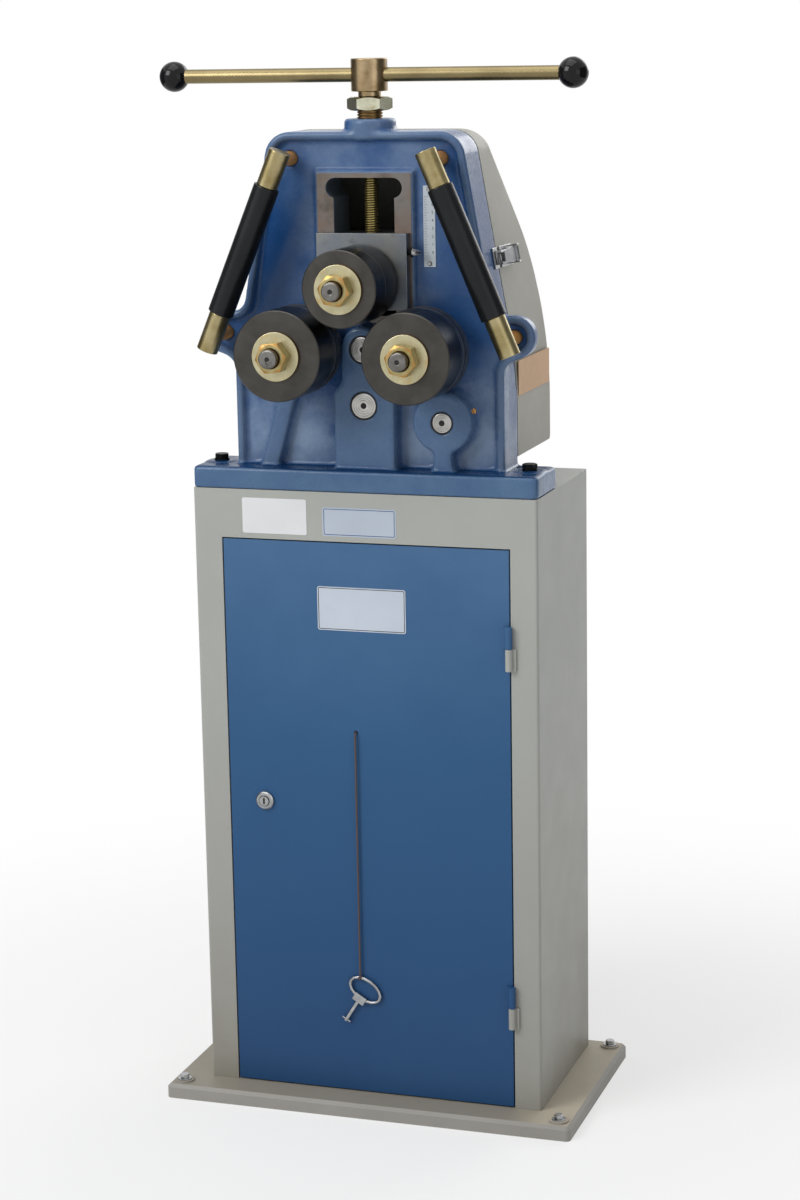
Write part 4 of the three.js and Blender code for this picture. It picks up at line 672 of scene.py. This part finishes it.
def standPieces():
    s = standSettings
    plate = softEdges(nodeCopy("base_plate"), s["plateEdge"])
    # top faces take the copy with painted light and shade
    tint(plate, lambda f: f.normal.z > 0.8)
    finishPiece("basePlate", plate, [greyBase, greyTopPaintedLight], ["base_plate"])
    softCopy("cabinetShell", "cabinet_shell", greySheet, s["shellEdge"], 3)
    softCopy("doorPanel", "door_panel", blueSheet, s["doorEdge"])
    low, high = spanOf("base_plate")
    top = high.z + s["washerHeight"]
    bolts = bmesh.new()
    for x in (low.x + s["inset"], high.x - s["inset"]):
        for y in (low.y + s["inset"], high.y - s["inset"]):
            head = hexNut(s["flats"], top, top + s["head"], 0, centre=(x, y, 0), turn=x)
            spring = tube(s["bore"], s["washer"], high.z, top, "z", (x, y, 0), s["washerEdge"], 40)
            addTo(bolts, head, spring)
    finishPiece("floorBolts", bolts, brightSteel, body="frame")


def blankPlates():
    s = plateSettings
    front = spanOf("cabinet_shell")[0].y
    door = spanOf("door_panel")[0].y
    for name, key, plane, finish, rim, slot, body in (
        ("stickerPlate", "sticker", front, whitePaint, whitePaint, "white_plate", "frame"),
        ("namePlate", "nameplate", front, paleBlue, blueInk, "white_plate", "frame"),
        ("doorPlate", "doorplate", door, coolWhite, blackInk, "white_plate", "door"),
    ):
        p = s[key]
        plate = label((p["x"][0], plane - s["thick"], p["z"][0]), (p["x"][1], plane, p["z"][1]), 1,
                      p["corner"], p["margin"], p["line"])
        finishPiece(name, plate, [finish, rim], body=body)


standPieces()
blankPlates()

# Hinges and lock
hingeSettings = {"barrel": 4.65, "leaf": 3.3, "pin": 2.75, "gap": 0.3, "barrelEdge": 0.9, "leafEdge": 0.6}


def hingePieces():
    s = hingeSettings
    face = spanOf("cabinet_shell")[0].y
    for level in ("upper", "lower"):
        for part, fixed, finish, slot in (("cabinet", True, greySheet, "grey_enamel"),
                                          ("door", False, blueSheet, "blue_enamel")):
            node = f"{part}_hinge_{level}"
            low, high = spanOf(node)
            x = low.x + s["barrel"] if fixed else high.x - s["barrel"]
            here = (x, low.y + s["barrel"], 0)
            top = spanOf(f"door_hinge_{level}")[0].z - s["gap"] if fixed else high.z
            first, last = (x, high.x) if fixed else (low.x, x)
            hinge = rod(s["barrel"], low.z, top, "z", here, s["barrelEdge"])
            addTo(hinge, slab((first, face - s["leaf"], low.z), (last, face, top), s["leafEdge"]))
            if fixed:
                addTo(hinge, rod(s["pin"], top - s["pin"], high.z, "z", here))
            finishPiece(f"{part}Hinge_{level}", hinge, finish, [node])


lockSettings = {"bore": 6.9, "body": 9.9, "proud": 4.95, "lip": (0.8, 0.6), "rim": 1.6, "crown": 0.2,
                "cylinderEdge": 0.4, "slit": (1.3, 4.2), "slitDepth": (0.12, 0.1), "slitEdge": 0.05}


def lockPieces():
    s = lockSettings
    low, high = spanOf("lock_housing")
    x, y, z = middleOf("lock_housing")
    flange = (high.x - low.x) / 2
    face = low.y + s["proud"]
    bore, body, rim = s["bore"], s["body"], s["rim"]
    lip, lipDepth = s["lip"]
    profile = [(bore, high.y), (bore, low.y + lipDepth), (bore + lip, low.y),
               (flange - rim, low.y + s["crown"]), (flange, low.y + rim), (flange, face), (body, face),
               (body, high.y), (bore, high.y)]
    finishPiece("lockHousing", lathe(profile, "y", (x, 0, z)), brightSteel, ["lock_housing"])
    softCopy("lockCylinder", "lock_cylinder", brightSteel, s["cylinderEdge"])
    # a near-black slab over the cylinder face stands for the keyway: painted shade
    front = spanOf("lock_cylinder")[0].y
    wide, tall = s["slit"]
    proud, deep = s["slitDepth"]
    slit = slab((x - wide, front - proud, z - tall), (x + wide, front + deep, z + tall), s["slitEdge"])
    finishPiece("keySlit", slit, holePaintedShade, body="lock")


hingePieces()
lockPieces()
print("stand ready")

# Head casting
castSettings = {
    "voxel": 2.5, "smoothing": (0.5, 5), "hollow": 0.2, "rounds": 14, "pull": 0.6,
    "faceHalf": 62.4, "faceBelowTop": 51.1,
    "faceProud": 0.2, "windowHalf": 59, "windowBelow": 45, "windowTop": 60, "padProud": 7.7,
    "footThick": 29.9, "nipple": (138, 935.6),
    "nippleProfile": ((0, 0.5), (5, 0.5), (5, -5), (3.4, -6), (3.4, -10.5), (4.2, -12), (3.2, -14.5),
                      (0, -15)),
}


# Fills the corners of the casting with a soft radius, as paint and filler do
def widenHollows(bm):
    s = castSettings
    for i in range(s["rounds"]):
        bm.normal_update()
        hollow = []
        for v in bm.verts:
            middle = Vector()
            for e in v.link_edges:
                middle += e.other_vert(v).co
            if (middle / len(v.link_edges) - v.co).dot(v.normal) > s["hollow"] * metre:
                hollow.append(v)
        bmesh.ops.smooth_vert(bm, verts=hollow, factor=s["pull"],
                              use_axis_x=True, use_axis_y=True, use_axis_z=True)


def castHead(source, faceY):
    s = castSettings
    low, high = spanOf("frame_casting")
    top = spanOf("rear_cover")[1].z - s["windowTop"]
    bottom = middleOf("upper_shaft")[2] - s["windowBelow"]
    finishes = [blueCast, ironPaintedShade, blueLedgeShaded]
    casting = finishPiece("castHead", source, finishes, ["frame_casting"], smooth=180)
    remesh = casting.modifiers.new("even", "REMESH")
    remesh.mode = "VOXEL"
    remesh.voxel_size = s["voxel"] * metre
    fillets = casting.modifiers.new("fillets", "SMOOTH")
    fillets.factor, fillets.iterations = s["smoothing"]
    baked = evaluatedMesh(casting)
    casting.modifiers.clear()
    casting.data = baked
    bm = bmesh.new()
    bm.from_mesh(baked)
    widenHollows(bm)

    # 1 inside the window takes the iron with painted shade, 2 on top of the foot the darker blue painted
    # shade
    def part(f):
        here = f.calc_center_median() / metre
        inside = abs(here.x) < s["windowHalf"] and faceY + 1 < here.y < high.y - 1
        if inside and bottom < here.z < top and f.normal.y > -0.5:
            return 1
        return 2 if f.normal.z > 0.8 and here.z < low.z + s["footThick"] else 0

    tint(bm, part)
    bm.to_mesh(baked)
    bm.free()
    baked.shade_smooth()
    print("casting faces", len(baked.polygons))


def castPieces():
    s = castSettings
    source = nodeCopy("frame_casting")
    steel = source.copy()
    face = spanOf("scale_plate")[1].y
    faceY = face - s["padProud"]
    castHead(source, faceY)
    # the ground face round the window
    steel.normal_update()
    kept = [f for f in steel.faces if f.normal.y < -0.99 and abs(f.calc_center_median().y - faceY) < 0.2]
    bmesh.ops.delete(steel, geom=[f for f in steel.faces if f not in kept], context="FACES")
    cutAway(steel, (s["faceHalf"], 0, 0), (1, 0, 0))
    cutAway(steel, (-s["faceHalf"], 0, 0), (-1, 0, 0))
    cutAway(steel, (0, 0, spanOf("rear_cover")[1].z - s["faceBelowTop"]), (0, 0, 1))
    grown = bmesh.ops.extrude_face_region(steel, geom=steel.faces[:])
    lifted = [v for v in grown["geom"] if isinstance(v, bmesh.types.BMVert)]
    bmesh.ops.translate(steel, vec=(0, -s["faceProud"], 0), verts=lifted)
    finishPiece("windowFace", facesOut(steel), bareCastIron, body="frame")
    x, z = s["nipple"]
    nipple = lathe([(radius, face + out) for radius, out in s["nippleProfile"]], "y", (x, 0, z), 24)
    finishPiece("greaseNipple", nipple, studZinc, body="frame")


coverSettings = {"edge": 1.4, "y": (-25, 124), "z": (947.7, 992.9), "corner": 2.0, "thick": 0.4}


def coverPieces():
    s = coverSettings
    softCopy("rearCover", "rear_cover", greyCover, s["edge"], 3)
    side = spanOf("rear_cover")[1].x
    (front, rear), (bottom, top) = s["y"], s["z"]
    plate = label((side, front, bottom), (side + s["thick"], rear, top), 0, s["corner"])
    finishPiece("coverLabel", plate, amberPaint, body="frame")


castPieces()
coverPieces()
print("casting and cover ready")

# Rollers, shafts, washers and nuts
rollerSettings = {
    "washer": 31, "nutFlats": 36, "nutGap": 0.1, "nose": 12, "shaft": 16, "gap": 0.3, "chamfer": 1.3,
    "joint": 0.5, "washerEdge": 0.9, "shaftEdge": 0.5, "centre": 2.3, "centreDepth": (0.12, 0.2),
    "nutTurns": {"upper": 8, "lower_left": -6, "lower_right": 12},
}
knurlSettings = {"teeth": 150, "depth": 0.4, "groove": 0.6, "grooveEnds": (0.4, 0.7),
                 "bands": ((31, 20), (15.5, 4.4))}


def rollerEnd(prefix, turn):
    s = rollerSettings
    x, y, z = middleOf(f"{prefix}_shaft")
    here = (x, 0, z)
    words = prefix.split("_")
    name = words[0] + "".join(w.capitalize() for w in words[1:])
    low, high = spanOf(f"{prefix}_washer")
    washer = tube(s["nose"] + s["gap"], s["washer"], low.y, high.y, "y", here, s["washerEdge"], 80)
    tint(washer, lambda f: abs(f.normal.y) < 0.9)
    finishPiece(name + "Washer", washer, [zincWasher, zincRim], [f"{prefix}_washer"])
    low, high = spanOf(f"{prefix}_nut")
    nut = hexNut(s["nutFlats"], low.y, high.y, s["nose"] + s["nutGap"], "y", here, turn)
    tint(nut, lambda f: 0.3 < abs(f.normal.y) < 0.95)
    finishPiece(name + "Nut", nut, [zincNut, zincRim], [f"{prefix}_nut"])
    softCopy(name + "Shaft", f"{prefix}_shaft", turnedSteel, s["shaftEdge"])
    # a near-black disc on the shaft end stands for its centre hole: painted shade
    front = spanOf(f"{prefix}_shaft")[0].y
    proud, deep = s["centreDepth"]
    hole = rod(s["centre"], front - proud, front + deep, "y", here, 0.05, 24)
    finishPiece(name + "Centre", hole, holePaintedShade, body=bodyOf(f"{prefix}_shaft"))


def rollerSizes(node):
    low, high = spanOf(node)
    x, y, z = middleOf(node)
    inner = rollerSettings["shaft"] + rollerSettings["gap"]
    return low.y, high.y, (high.x - low.x) / 2, inner, (x, 0, z)


def plainRoller(name, node, frontCut, rearCut):
    front, rear, radius, inner, here = rollerSizes(node)
    profile = [(inner, front), (radius - frontCut, front), (radius, front + frontCut),
               (radius, rear - rearCut), (radius - rearCut, rear), (inner, rear), (inner, front)]
    ring = lathe(profile, "y", here, 128)
    tint(ring, lambda f: f.normal.y < -0.7)
    finishPiece(name, ring, [darkRoller, rollerFace], [node])


def knurledRoller(name, node):
    s = knurlSettings
    front, rear, radius, inner, here = rollerSizes(node)
    cut, groove = rollerSettings["chamfer"], radius - s["groove"]
    near, far = s["grooveEnds"]
    step = pi / s["teeth"]

    def rough(angle):
        return radius - s["depth"] * (round(angle / step) % 2)

    def part(f):
        depth = rear - f.calc_center_median().y
        if f.normal.y < -0.7:
            return 1
        return 2 if any(end + 0.5 < depth < start - 0.5 for start, end in s["bands"]) else 0

    rings = [(inner, front), (radius - cut, front), (radius, front + cut)]
    for start, end in s["bands"]:
        first, last = rear - start, rear - end
        rings += [(radius, first), (groove, first + near), (rough, first + far), (rough, last - far),
                  (groove, last - near), (radius, last)]
    rings += [(radius, rear - cut), (radius - cut, rear), (inner, rear)]
    ring = ringStack(rings, 2 * s["teeth"], True, "y", here)
    tint(ring, part)
    finishPiece(name, ring, [darkRoller, rollerFace, knurlSteel], [node])


def rollerPieces():
    s = rollerSettings
    for prefix, turn in s["nutTurns"].items():
        rollerEnd(prefix, turn)
    plainRoller("upperFrontRing", "upper_front_ring", s["chamfer"], s["joint"])
    plainRoller("upperRearRing", "upper_rear_ring", s["joint"], s["chamfer"])
    knurledRoller("lowerLeftRoller", "lower_left_roller")
    knurledRoller("lowerRightRoller", "lower_right_roller")


rollerPieces()
print("rollers ready")

# Slide, pointer and scale
slideSettings = {"blockEdge": 0.6, "keeperEdge": 0.5, "stem": 2.75, "head": 6.2, "stemLength": 4.4,
                 "collar": 1.6}


def slidePieces():
    s = slideSettings
    softCopy("slideBlock", "slide_block", groundSteel, s["blockEdge"])
    softCopy("slideKeeper", "slide_keeper", groundSteel, s["keeperEdge"])
    low, high = spanOf("scale_pointer")
    x, y, z = middleOf("scale_pointer")
    neck = low.x + s["stemLength"]
    dark = neck + s["collar"]
    stem, head = s["stem"], s["head"]
    profile = [(0, low.x), (stem, low.x), (stem, neck), (head, neck), (head, dark), (0, high.x)]
    pointer = lathe(profile, "x", (0, y, z), 40)
    tint(pointer, lambda f: f.calc_center_median().x > dark + 0.2)
    finishPiece("scalePointer", pointer, [blackOxide, brightSteel], ["scale_pointer"])


scaleSettings = {
    "plateEdge": 0.15, "first": 1135, "step": 2, "perNumber": 5, "numbers": 8, "tick": (0.8, 3.6, 5.6),
    "width": 0.3, "raise": 0.06, "sunk": 0.02, "size": 5.2, "letterDepth": 0.04, "numberInset": 2.2,
    "screwInset": 4.4, "screw": 2.9, "screwShadeShare": 0.7,
    "screwProfile": ((0, 0.9), (0.45, 1.1), (0.8, 1.1), (1, 0.6), (1, 0), (0, 0)),
}


def letterMesh(words, place):
    text = bpy.data.curves.new("number", "FONT")
    text.body = words
    text.size = scaleSettings["size"]
    text.extrude = scaleSettings["letterDepth"]
    text.align_x = "RIGHT"
    text.align_y = "CENTER"
    text.resolution_u = 3
    carrier = linked("number", text)
    mesh = evaluatedMesh(carrier)
    bm = bmesh.new()
    bm.from_mesh(mesh)
    bpy.data.objects.remove(carrier)
    bpy.data.meshes.remove(mesh)
    return moved(bm, place, Matrix.Rotation(radians(90), 4, "X"))


def scaleMarks(low, high):
    s = scaleSettings
    marks = bmesh.new()
    inset, short, long = s["tick"]
    start, half = low.x + inset, s["width"] / 2
    for i in range((s["numbers"] - 1) * s["perNumber"] + 1):
        z = s["first"] + i * s["step"]
        whole = i % s["perNumber"] == 0
        end = start + (long if whole else short)
        addTo(marks, slab((start, low.y - s["raise"], z - half), (end, low.y + s["sunk"], z + half)))
        if whole:
            place = (high.x - s["numberInset"], low.y - s["raise"] / 2, z)
            addTo(marks, letterMesh(str(i // s["perNumber"]), place))
    finishPiece("scaleMarks", marks, blackInk, body="frame")


def scalePieces():
    s = scaleSettings
    low, high = spanOf("scale_plate")
    plate = softEdges(nodeCopy("scale_plate"), s["plateEdge"], 1)
    finishPiece("scalePlate", plate, scalePaint, ["scale_plate"])
    scaleMarks(low, high)
    screws = bmesh.new()
    radius = s["screw"]
    profile = [(radius * share, low.y - out) for share, out in s["screwProfile"]]
    x = middleOf("scale_plate")[0]

    # the outer rim of each screw head takes the near-black hole colour: painted shade round the head
    def rimPaintedShade(f):
        middle = f.calc_center_median()
        return hypot(middle.x - x, middle.z - z) > radius * s["screwShadeShare"]

    for z in (low.z + s["screwInset"], high.z - s["screwInset"]):
        screw = lathe(profile, "y", (x, 0, z), 24)
        tint(screw, rimPaintedShade)
        addTo(screws, screw)
    finishPiece("scaleScrews", screws, [brightSteel, holePaintedShade], body="frame")


slidePieces()
scalePieces()

# Lifting screw, bush, lock nut, hub, bar and balls
screwSettings = {"pitch": 3, "depth": 1.6, "bushPitch": 3.5, "bushDepth": 1.7, "nutFlats": 50, "nutTurn": 14,
                 "tail": 6, "neck": 14.4, "hubGap": 0.4, "hubHeight": 40.9, "hubEdge": 1.4, "barEdge": 0.7,
                 "seat": 1.3}


def screwPieces():
    s = screwSettings
    low, high = spanOf("lifting_screw")
    y = middleOf("lifting_screw")[1]
    here = (0, y, 0)
    bushLow, bushHigh = spanOf("threaded_bush")
    hubLow, hubHigh = spanOf("handle_hub")
    radius = (high.x - low.x) / 2

    # faces below the crest take the darker zinc: painted shade in the thread roots
    def belowCrest(f):
        middle = f.calc_center_median()
        return hypot(middle.x, middle.y - y) <= radius - s["depth"] * 0.3

    screw = thread(radius, s["depth"], s["pitch"], low.z, min(high.z, hubLow.z + s["tail"]), here)
    tint(screw, belowCrest)
    finishPiece("liftingScrew", screw, [screwZinc, screwRootShaded], ["lifting_screw"], smooth=60)
    outer = (bushHigh.x - bushLow.x) / 2
    bush = thread(outer, s["bushDepth"], s["bushPitch"], bushLow.z, bushHigh.z, here)
    finishPiece("threadedBush", bush, threadZinc, ["threaded_bush"], smooth=60)
    nutLow, nutHigh = spanOf("lock_nut")
    nut = hexNut(s["nutFlats"], nutLow.z, nutHigh.z, outer - s["bushDepth"], centre=here, turn=s["nutTurn"])
    finishPiece("lockNut", nut, paleZinc, ["lock_nut"])
    foot, body, top = hubLow.z + s["hubGap"], hubHigh.z - s["hubHeight"], hubHigh.z
    reach, neck = (hubHigh.x - hubLow.x) / 2, s["neck"]
    profile = [(0, foot), (neck, foot), (neck, body), (reach, body), (reach, top), (0, top)]
    hub = softEdges(lathe(profile, "z", here, 80), s["hubEdge"], 3)
    finishPiece("handleHub", hub, yellowZinc, ["handle_hub"])


def barPieces():
    s = screwSettings
    y = middleOf("lifting_screw")[1]
    low, high = spanOf("handle_bar")
    z = middleOf("handle_bar")[2]
    bar = rod((high.z - low.z) / 2, low.x, high.x, "x", (0, y, z), s["barEdge"])
    finishPiece("handleBar", bar, brushedZinc, ["handle_bar"])
    for side, sign in sides:
        low, high = spanOf(f"handle_ball_{side}")
        size = (high.z - low.z) / 2
        centre = low.x + size if sign < 0 else high.x - size
        ball = bmesh.new()
        bmesh.ops.create_uvsphere(ball, u_segments=48, v_segments=32, radius=size)
        cut = cutAway(ball, (-sign * (size - s["seat"]), 0, 0), (-sign, 0, 0))
        bmesh.ops.contextual_create(ball, geom=[e for e in cut if isinstance(e, bmesh.types.BMEdge)])
        moved(ball, (centre, y, z))
        finishPiece(f"handleBall_{side}", ball, blackBall, [f"handle_ball_{side}"])


screwPieces()
barPieces()
print("slide and screw ready")

# Shaft ends, gears and crank
endSettings = {
    "edge": 0.5, "gap": 1.4, "gapDepth": (0.15, 0.3), "clear": 0.3, "recess": 1, "proud": 0.5, "sunk": 0.3,
    "chamfer": (1, 0.5), "hole": 3.9, "hollow": ((0, 0.05), (0.6, 0.1)), "rings": (0.45, 0.62, 0.8),
    "ring": (0.4, 0.3),
    "ends": (("idlerEnd", "idler_gear", 16.3), ("intermediateEnd", "intermediate_shaft", 16.3),
             ("driveEnd", "drive_shaft", 12.8)),
}


# Turned rings and a centre hole on the visible end of a shaft, the hole coloured near black as painted shade,
# and a near-black ring in the gap round it, painted shade
def shaftEndPiece(name, node, radius):
    s = endSettings
    seat = spanOf(node)[0].y
    x, y, z = middleOf(node)
    here = (x, 0, z)
    front, back = seat - s["proud"], seat + s["sunk"]
    profile = [(s["hole"] * share, seat - rise) for share, rise in s["hollow"]]
    profile.append((s["hole"], front))
    wide, deep = s["ring"]
    for share in s["rings"]:
        r = radius * share
        profile += [(r - wide, front), (r, front + deep), (r + wide, front)]
    cut, drop = s["chamfer"]
    profile += [(radius - cut, front), (radius, front + drop), (radius, back), (0, back)]

    def inHole(f):
        middle = f.calc_center_median()
        return hypot(middle.x - x, middle.z - z) < s["hole"]

    end = lathe(profile, "y", here, 64)
    tint(end, inHole)
    finishPiece(name, end, [shaftEnd, holePaintedShade], body=bodyOf(node))
    face, inner = seat - s["recess"], radius + s["clear"]
    rise, depth = s["gapDepth"]
    gap = tube(inner, inner + s["gap"], face - rise, face + depth, "y", here, 0.05)
    finishPiece(name + "Gap", gap, holePaintedShade, body="frame")


def paintNode(node, material):
    slots = nodes[node].data.materials
    slots.clear()
    slots.append(material)


def shaftPieces():
    for node, name, finish, slot in (
        ("drive_shaft", "driveShaft", turnedSteel, "bright_steel"),
        ("intermediate_shaft", "intermediateShaft", gearSteel, "ground_steel"),
        ("idler_gear", "idlerGear", gearSteel, "ground_steel"),
        ("crank_arm", "crankArm", yellowZinc, "yellow_zinc"),
        ("crank_grip", "crankGrip", blackBall, "black_plastic"),
    ):
        softCopy(name, node, finish, endSettings["edge"])
    for node in ("intermediate_gear", "drive_gear", "lower_left_gear", "lower_right_gear"):
        paintNode(node, gearSteel)
    for node in ("lower_left_bush", "lower_right_bush"):
        paintNode(node, bronze)
    for name, node, radius in endSettings["ends"]:
        shaftEndPiece(name, node, radius)


shaftPieces()

# Foot bolts
footSettings = {"washer": 10, "washerHeight": 2, "washerEdge": 0.4, "bore": 5.2, "shank": 5, "flats": 17,
                "head": 6.4, "nut": 8.4, "sheet": 2, "sunk": 1, "headTurn": 11, "nutTurn": 20}


def footBolts():
    s = footSettings
    under = spanOf("cabinet_shell")[1].z - s["sheet"]
    for side, sign in sides:
        node = f"foot_bolt_{side}"
        low, high = spanOf(node)
        x, y, z = middleOf(node)
        here = (x, y, 0)
        seat = high.z - s["head"]
        bolt = tube(s["bore"], s["washer"], seat - s["washerHeight"], seat, "z", here, s["washerEdge"])
        addTo(bolt, hexNut(s["flats"], seat, high.z, 0, centre=here, turn=sign * s["headTurn"]),
              rod(s["shank"], low.z, seat + s["sunk"], "z", here),
              hexNut(s["flats"], under - s["nut"], under, 0, centre=here, turn=s["nutTurn"]))
        finishPiece(f"footBolt_{side}", bolt, blackOxide, [node])


footBolts()

# Side guides
guideSettings = {
    "y": -135.85, "upper": (100, 1252.2), "lower": (193.9, 1030.1), "block": 13.8, "blockEdge": 1.0, "rod": 9,
    "tube": 16.6, "tubeEdge": 1.3, "topOver": 12.2, "topBlock": 47.5, "bottomOver": 19.9, "bottomBlock": 51.5,
    "stud": 9, "gap": 0.3, "tubeGap": 0.6, "sunk": 2,
}


def guidePieces():
    s = guideSettings
    (ux, uz), (lx, lz) = s["upper"], s["lower"]
    span = hypot(lx - ux, uz - lz)
    lean = atan2(lx - ux, uz - lz)
    top, bottom = s["topOver"], -span - s["bottomOver"]
    tubeTop, tubeBottom = top - s["topBlock"], bottom + s["bottomBlock"]
    line, gap = (0, s["y"], 0), s["gap"]
    for side, sign in sides:
        turn = Matrix.Rotation(-sign * lean, 4, "Y")
        place = (sign * ux, 0, uz)
        studEnd = spanOf(f"guide_axle_{side}")[1].y
        axle = rod(s["block"], bottom, tubeBottom, "z", line, s["blockEdge"], 64)
        addTo(axle, rod(s["block"], tubeTop, top, "z", line, s["blockEdge"], 64),
              rod(s["rod"], tubeBottom - s["sunk"], tubeTop + s["sunk"], "z", line))
        for z in (0, -span):
            stud = rod(s["stud"], s["y"], studEnd, "y", (0, 0, z))
            tint(stud, lambda f: 1)
            addTo(axle, stud)
        moved(axle, place, turn)
        finishPiece(f"guideAxle_{side}", axle, [guideZinc, studZinc], [f"guide_axle_{side}"])
        sleeve = tube(s["rod"] + s["tubeGap"], s["tube"], tubeBottom + gap, tubeTop - gap, "z", line,
                      s["tubeEdge"], 72)
        moved(sleeve, place, turn)
        finishPiece(f"guideTube_{side}", sleeve, blackTube, [f"guide_tube_{side}"])


guidePieces()


# Latches of the rear cover
latchEdge = 0.5


def latchPieces():
    for side in ("left", "right"):
        for part, finish in (("strike", brightSteel), ("base", brightSteel), ("lever", dullZinc)):
            name, node = f"latch{part.capitalize()}_{side}", f"latch_{part}_{side}"
            softCopy(name, node, finish, latchEdge)


latchPieces()
print("guides, bolts and latches ready")

# Stage and light
stageSettings = {
    "world": 0.38, "floor": 0.82, "floorRadius": 30, "floorReach": (0.4, 1.45), "floorGlow": (0.55, 1),
    "aim": (0, 0, 0.78), "flagLevel": 0.14,
    "lamps": (("keyLight", (-2.5, -3.3, 3.3), 2.3, 120), ("fillLight", (3.2, -2.5, 1.5), 2.2, 9),
              ("topLight", (-0.3, -0.6, 4.0), 2.6, 42), ("rearLight", (1.0, 3.0, 2.4), 2.0, 34)),
    "flags": (((-2.6, 0.3, 1.2), (3.2, 2.8)), ((2.6, 0.5, 1.2), (3.4, 2.8))),
}


# 1 for rays of the named kinds and 0 for the others
def seenBy(tree, *kinds):
    rays = addNode(tree, "LightPath").outputs
    seen = rays[kinds[0]]
    for kind in kinds[1:]:
        seen = mathOf(tree, "MAXIMUM", seen, rays[kind])
    return seen


def glowOf(tree, strength):
    return addNode(tree, "Emission", {"Color": (1, 1, 1, 1), "Strength": strength}).outputs[0]


def stageWorld():
    scene = bpy.context.scene
    scene.view_settings.view_transform = "Standard"
    world = bpy.data.worlds.new("studioWorld")
    world.use_nodes = True
    tree = world.node_tree
    back = tree.nodes["Background"]
    seen = seenBy(tree, "Is Camera Ray", "Is Glossy Ray", "Is Transmission Ray")
    feed(tree, back.inputs["Strength"], rangeOf(tree, seen, target=(stageSettings["world"], 1.0)))
    back.inputs["Color"].default_value = (1, 1, 1, 1)
    scene.world = world


def stageFloor():
    s = stageSettings
    bm = bmesh.new()
    bmesh.ops.create_circle(bm, cap_ends=True, radius=s["floorRadius"], segments=96)
    floor = linked("paleFloor", meshOf("paleFloor", bm))
    tone = (s["floor"], s["floor"], s["floor"], 1)
    pale, tree, shader, place = startMaterial("paleFloor", "ffffff", {
        "Base Color": tone, "Roughness": 0.9, "Specular IOR Level": 0.1})
    reach = addNode(tree, "VectorMath", {0: place}, operation="LENGTH").outputs["Value"]
    far = rangeOf(tree, reach, s["floorReach"], s["floorGlow"], "SMOOTHSTEP")
    mixBy = mathOf(tree, "MULTIPLY", seenBy(tree, "Is Camera Ray", "Is Glossy Ray"), far)
    mix = addNode(tree, "MixShader", {0: mixBy, 1: shader.outputs[0], 2: glowOf(tree, 1.0)})
    feed(tree, tree.nodes["Material Output"].inputs["Surface"], mix.outputs[0])
    floor.data.materials.append(pale)


# Grey cards beside the machine that only its reflections see
def stageFlags():
    s = stageSettings
    grey = bpy.data.materials.new("greyCard")
    grey.use_nodes = True
    tree = grey.node_tree
    feed(tree, tree.nodes["Material Output"].inputs["Surface"], glowOf(tree, s["flagLevel"]))
    for i, (place, (wide, tall)) in enumerate(s["flags"]):
        bm = bmesh.new()
        bmesh.ops.create_grid(bm, x_segments=1, y_segments=1, size=0.5)
        bmesh.ops.scale(bm, vec=(tall, wide, 1), verts=bm.verts[:])
        moved(bm, place, axisTurns["x"])
        card = linked(f"greyCard{i}", meshOf(f"greyCard{i}", bm))
        card.data.materials.append(grey)
        for ray in ("camera", "diffuse", "shadow", "transmission"):
            setattr(card, "visible_" + ray, False)


def stageLamps():
    s = stageSettings
    for name, place, size, power in s["lamps"]:
        lamp = bpy.data.lights.new(name, "AREA")
        lamp.size = size
        lamp.energy = power
        holder = linked(name, lamp)
        holder.location = place
        aim = Vector(s["aim"]) - Vector(place)
        holder.rotation_euler = aim.to_track_quat("-Z", "Y").to_euler()


stageWorld()
stageFloor()
stageFlags()
stageLamps()
print("stage ready")
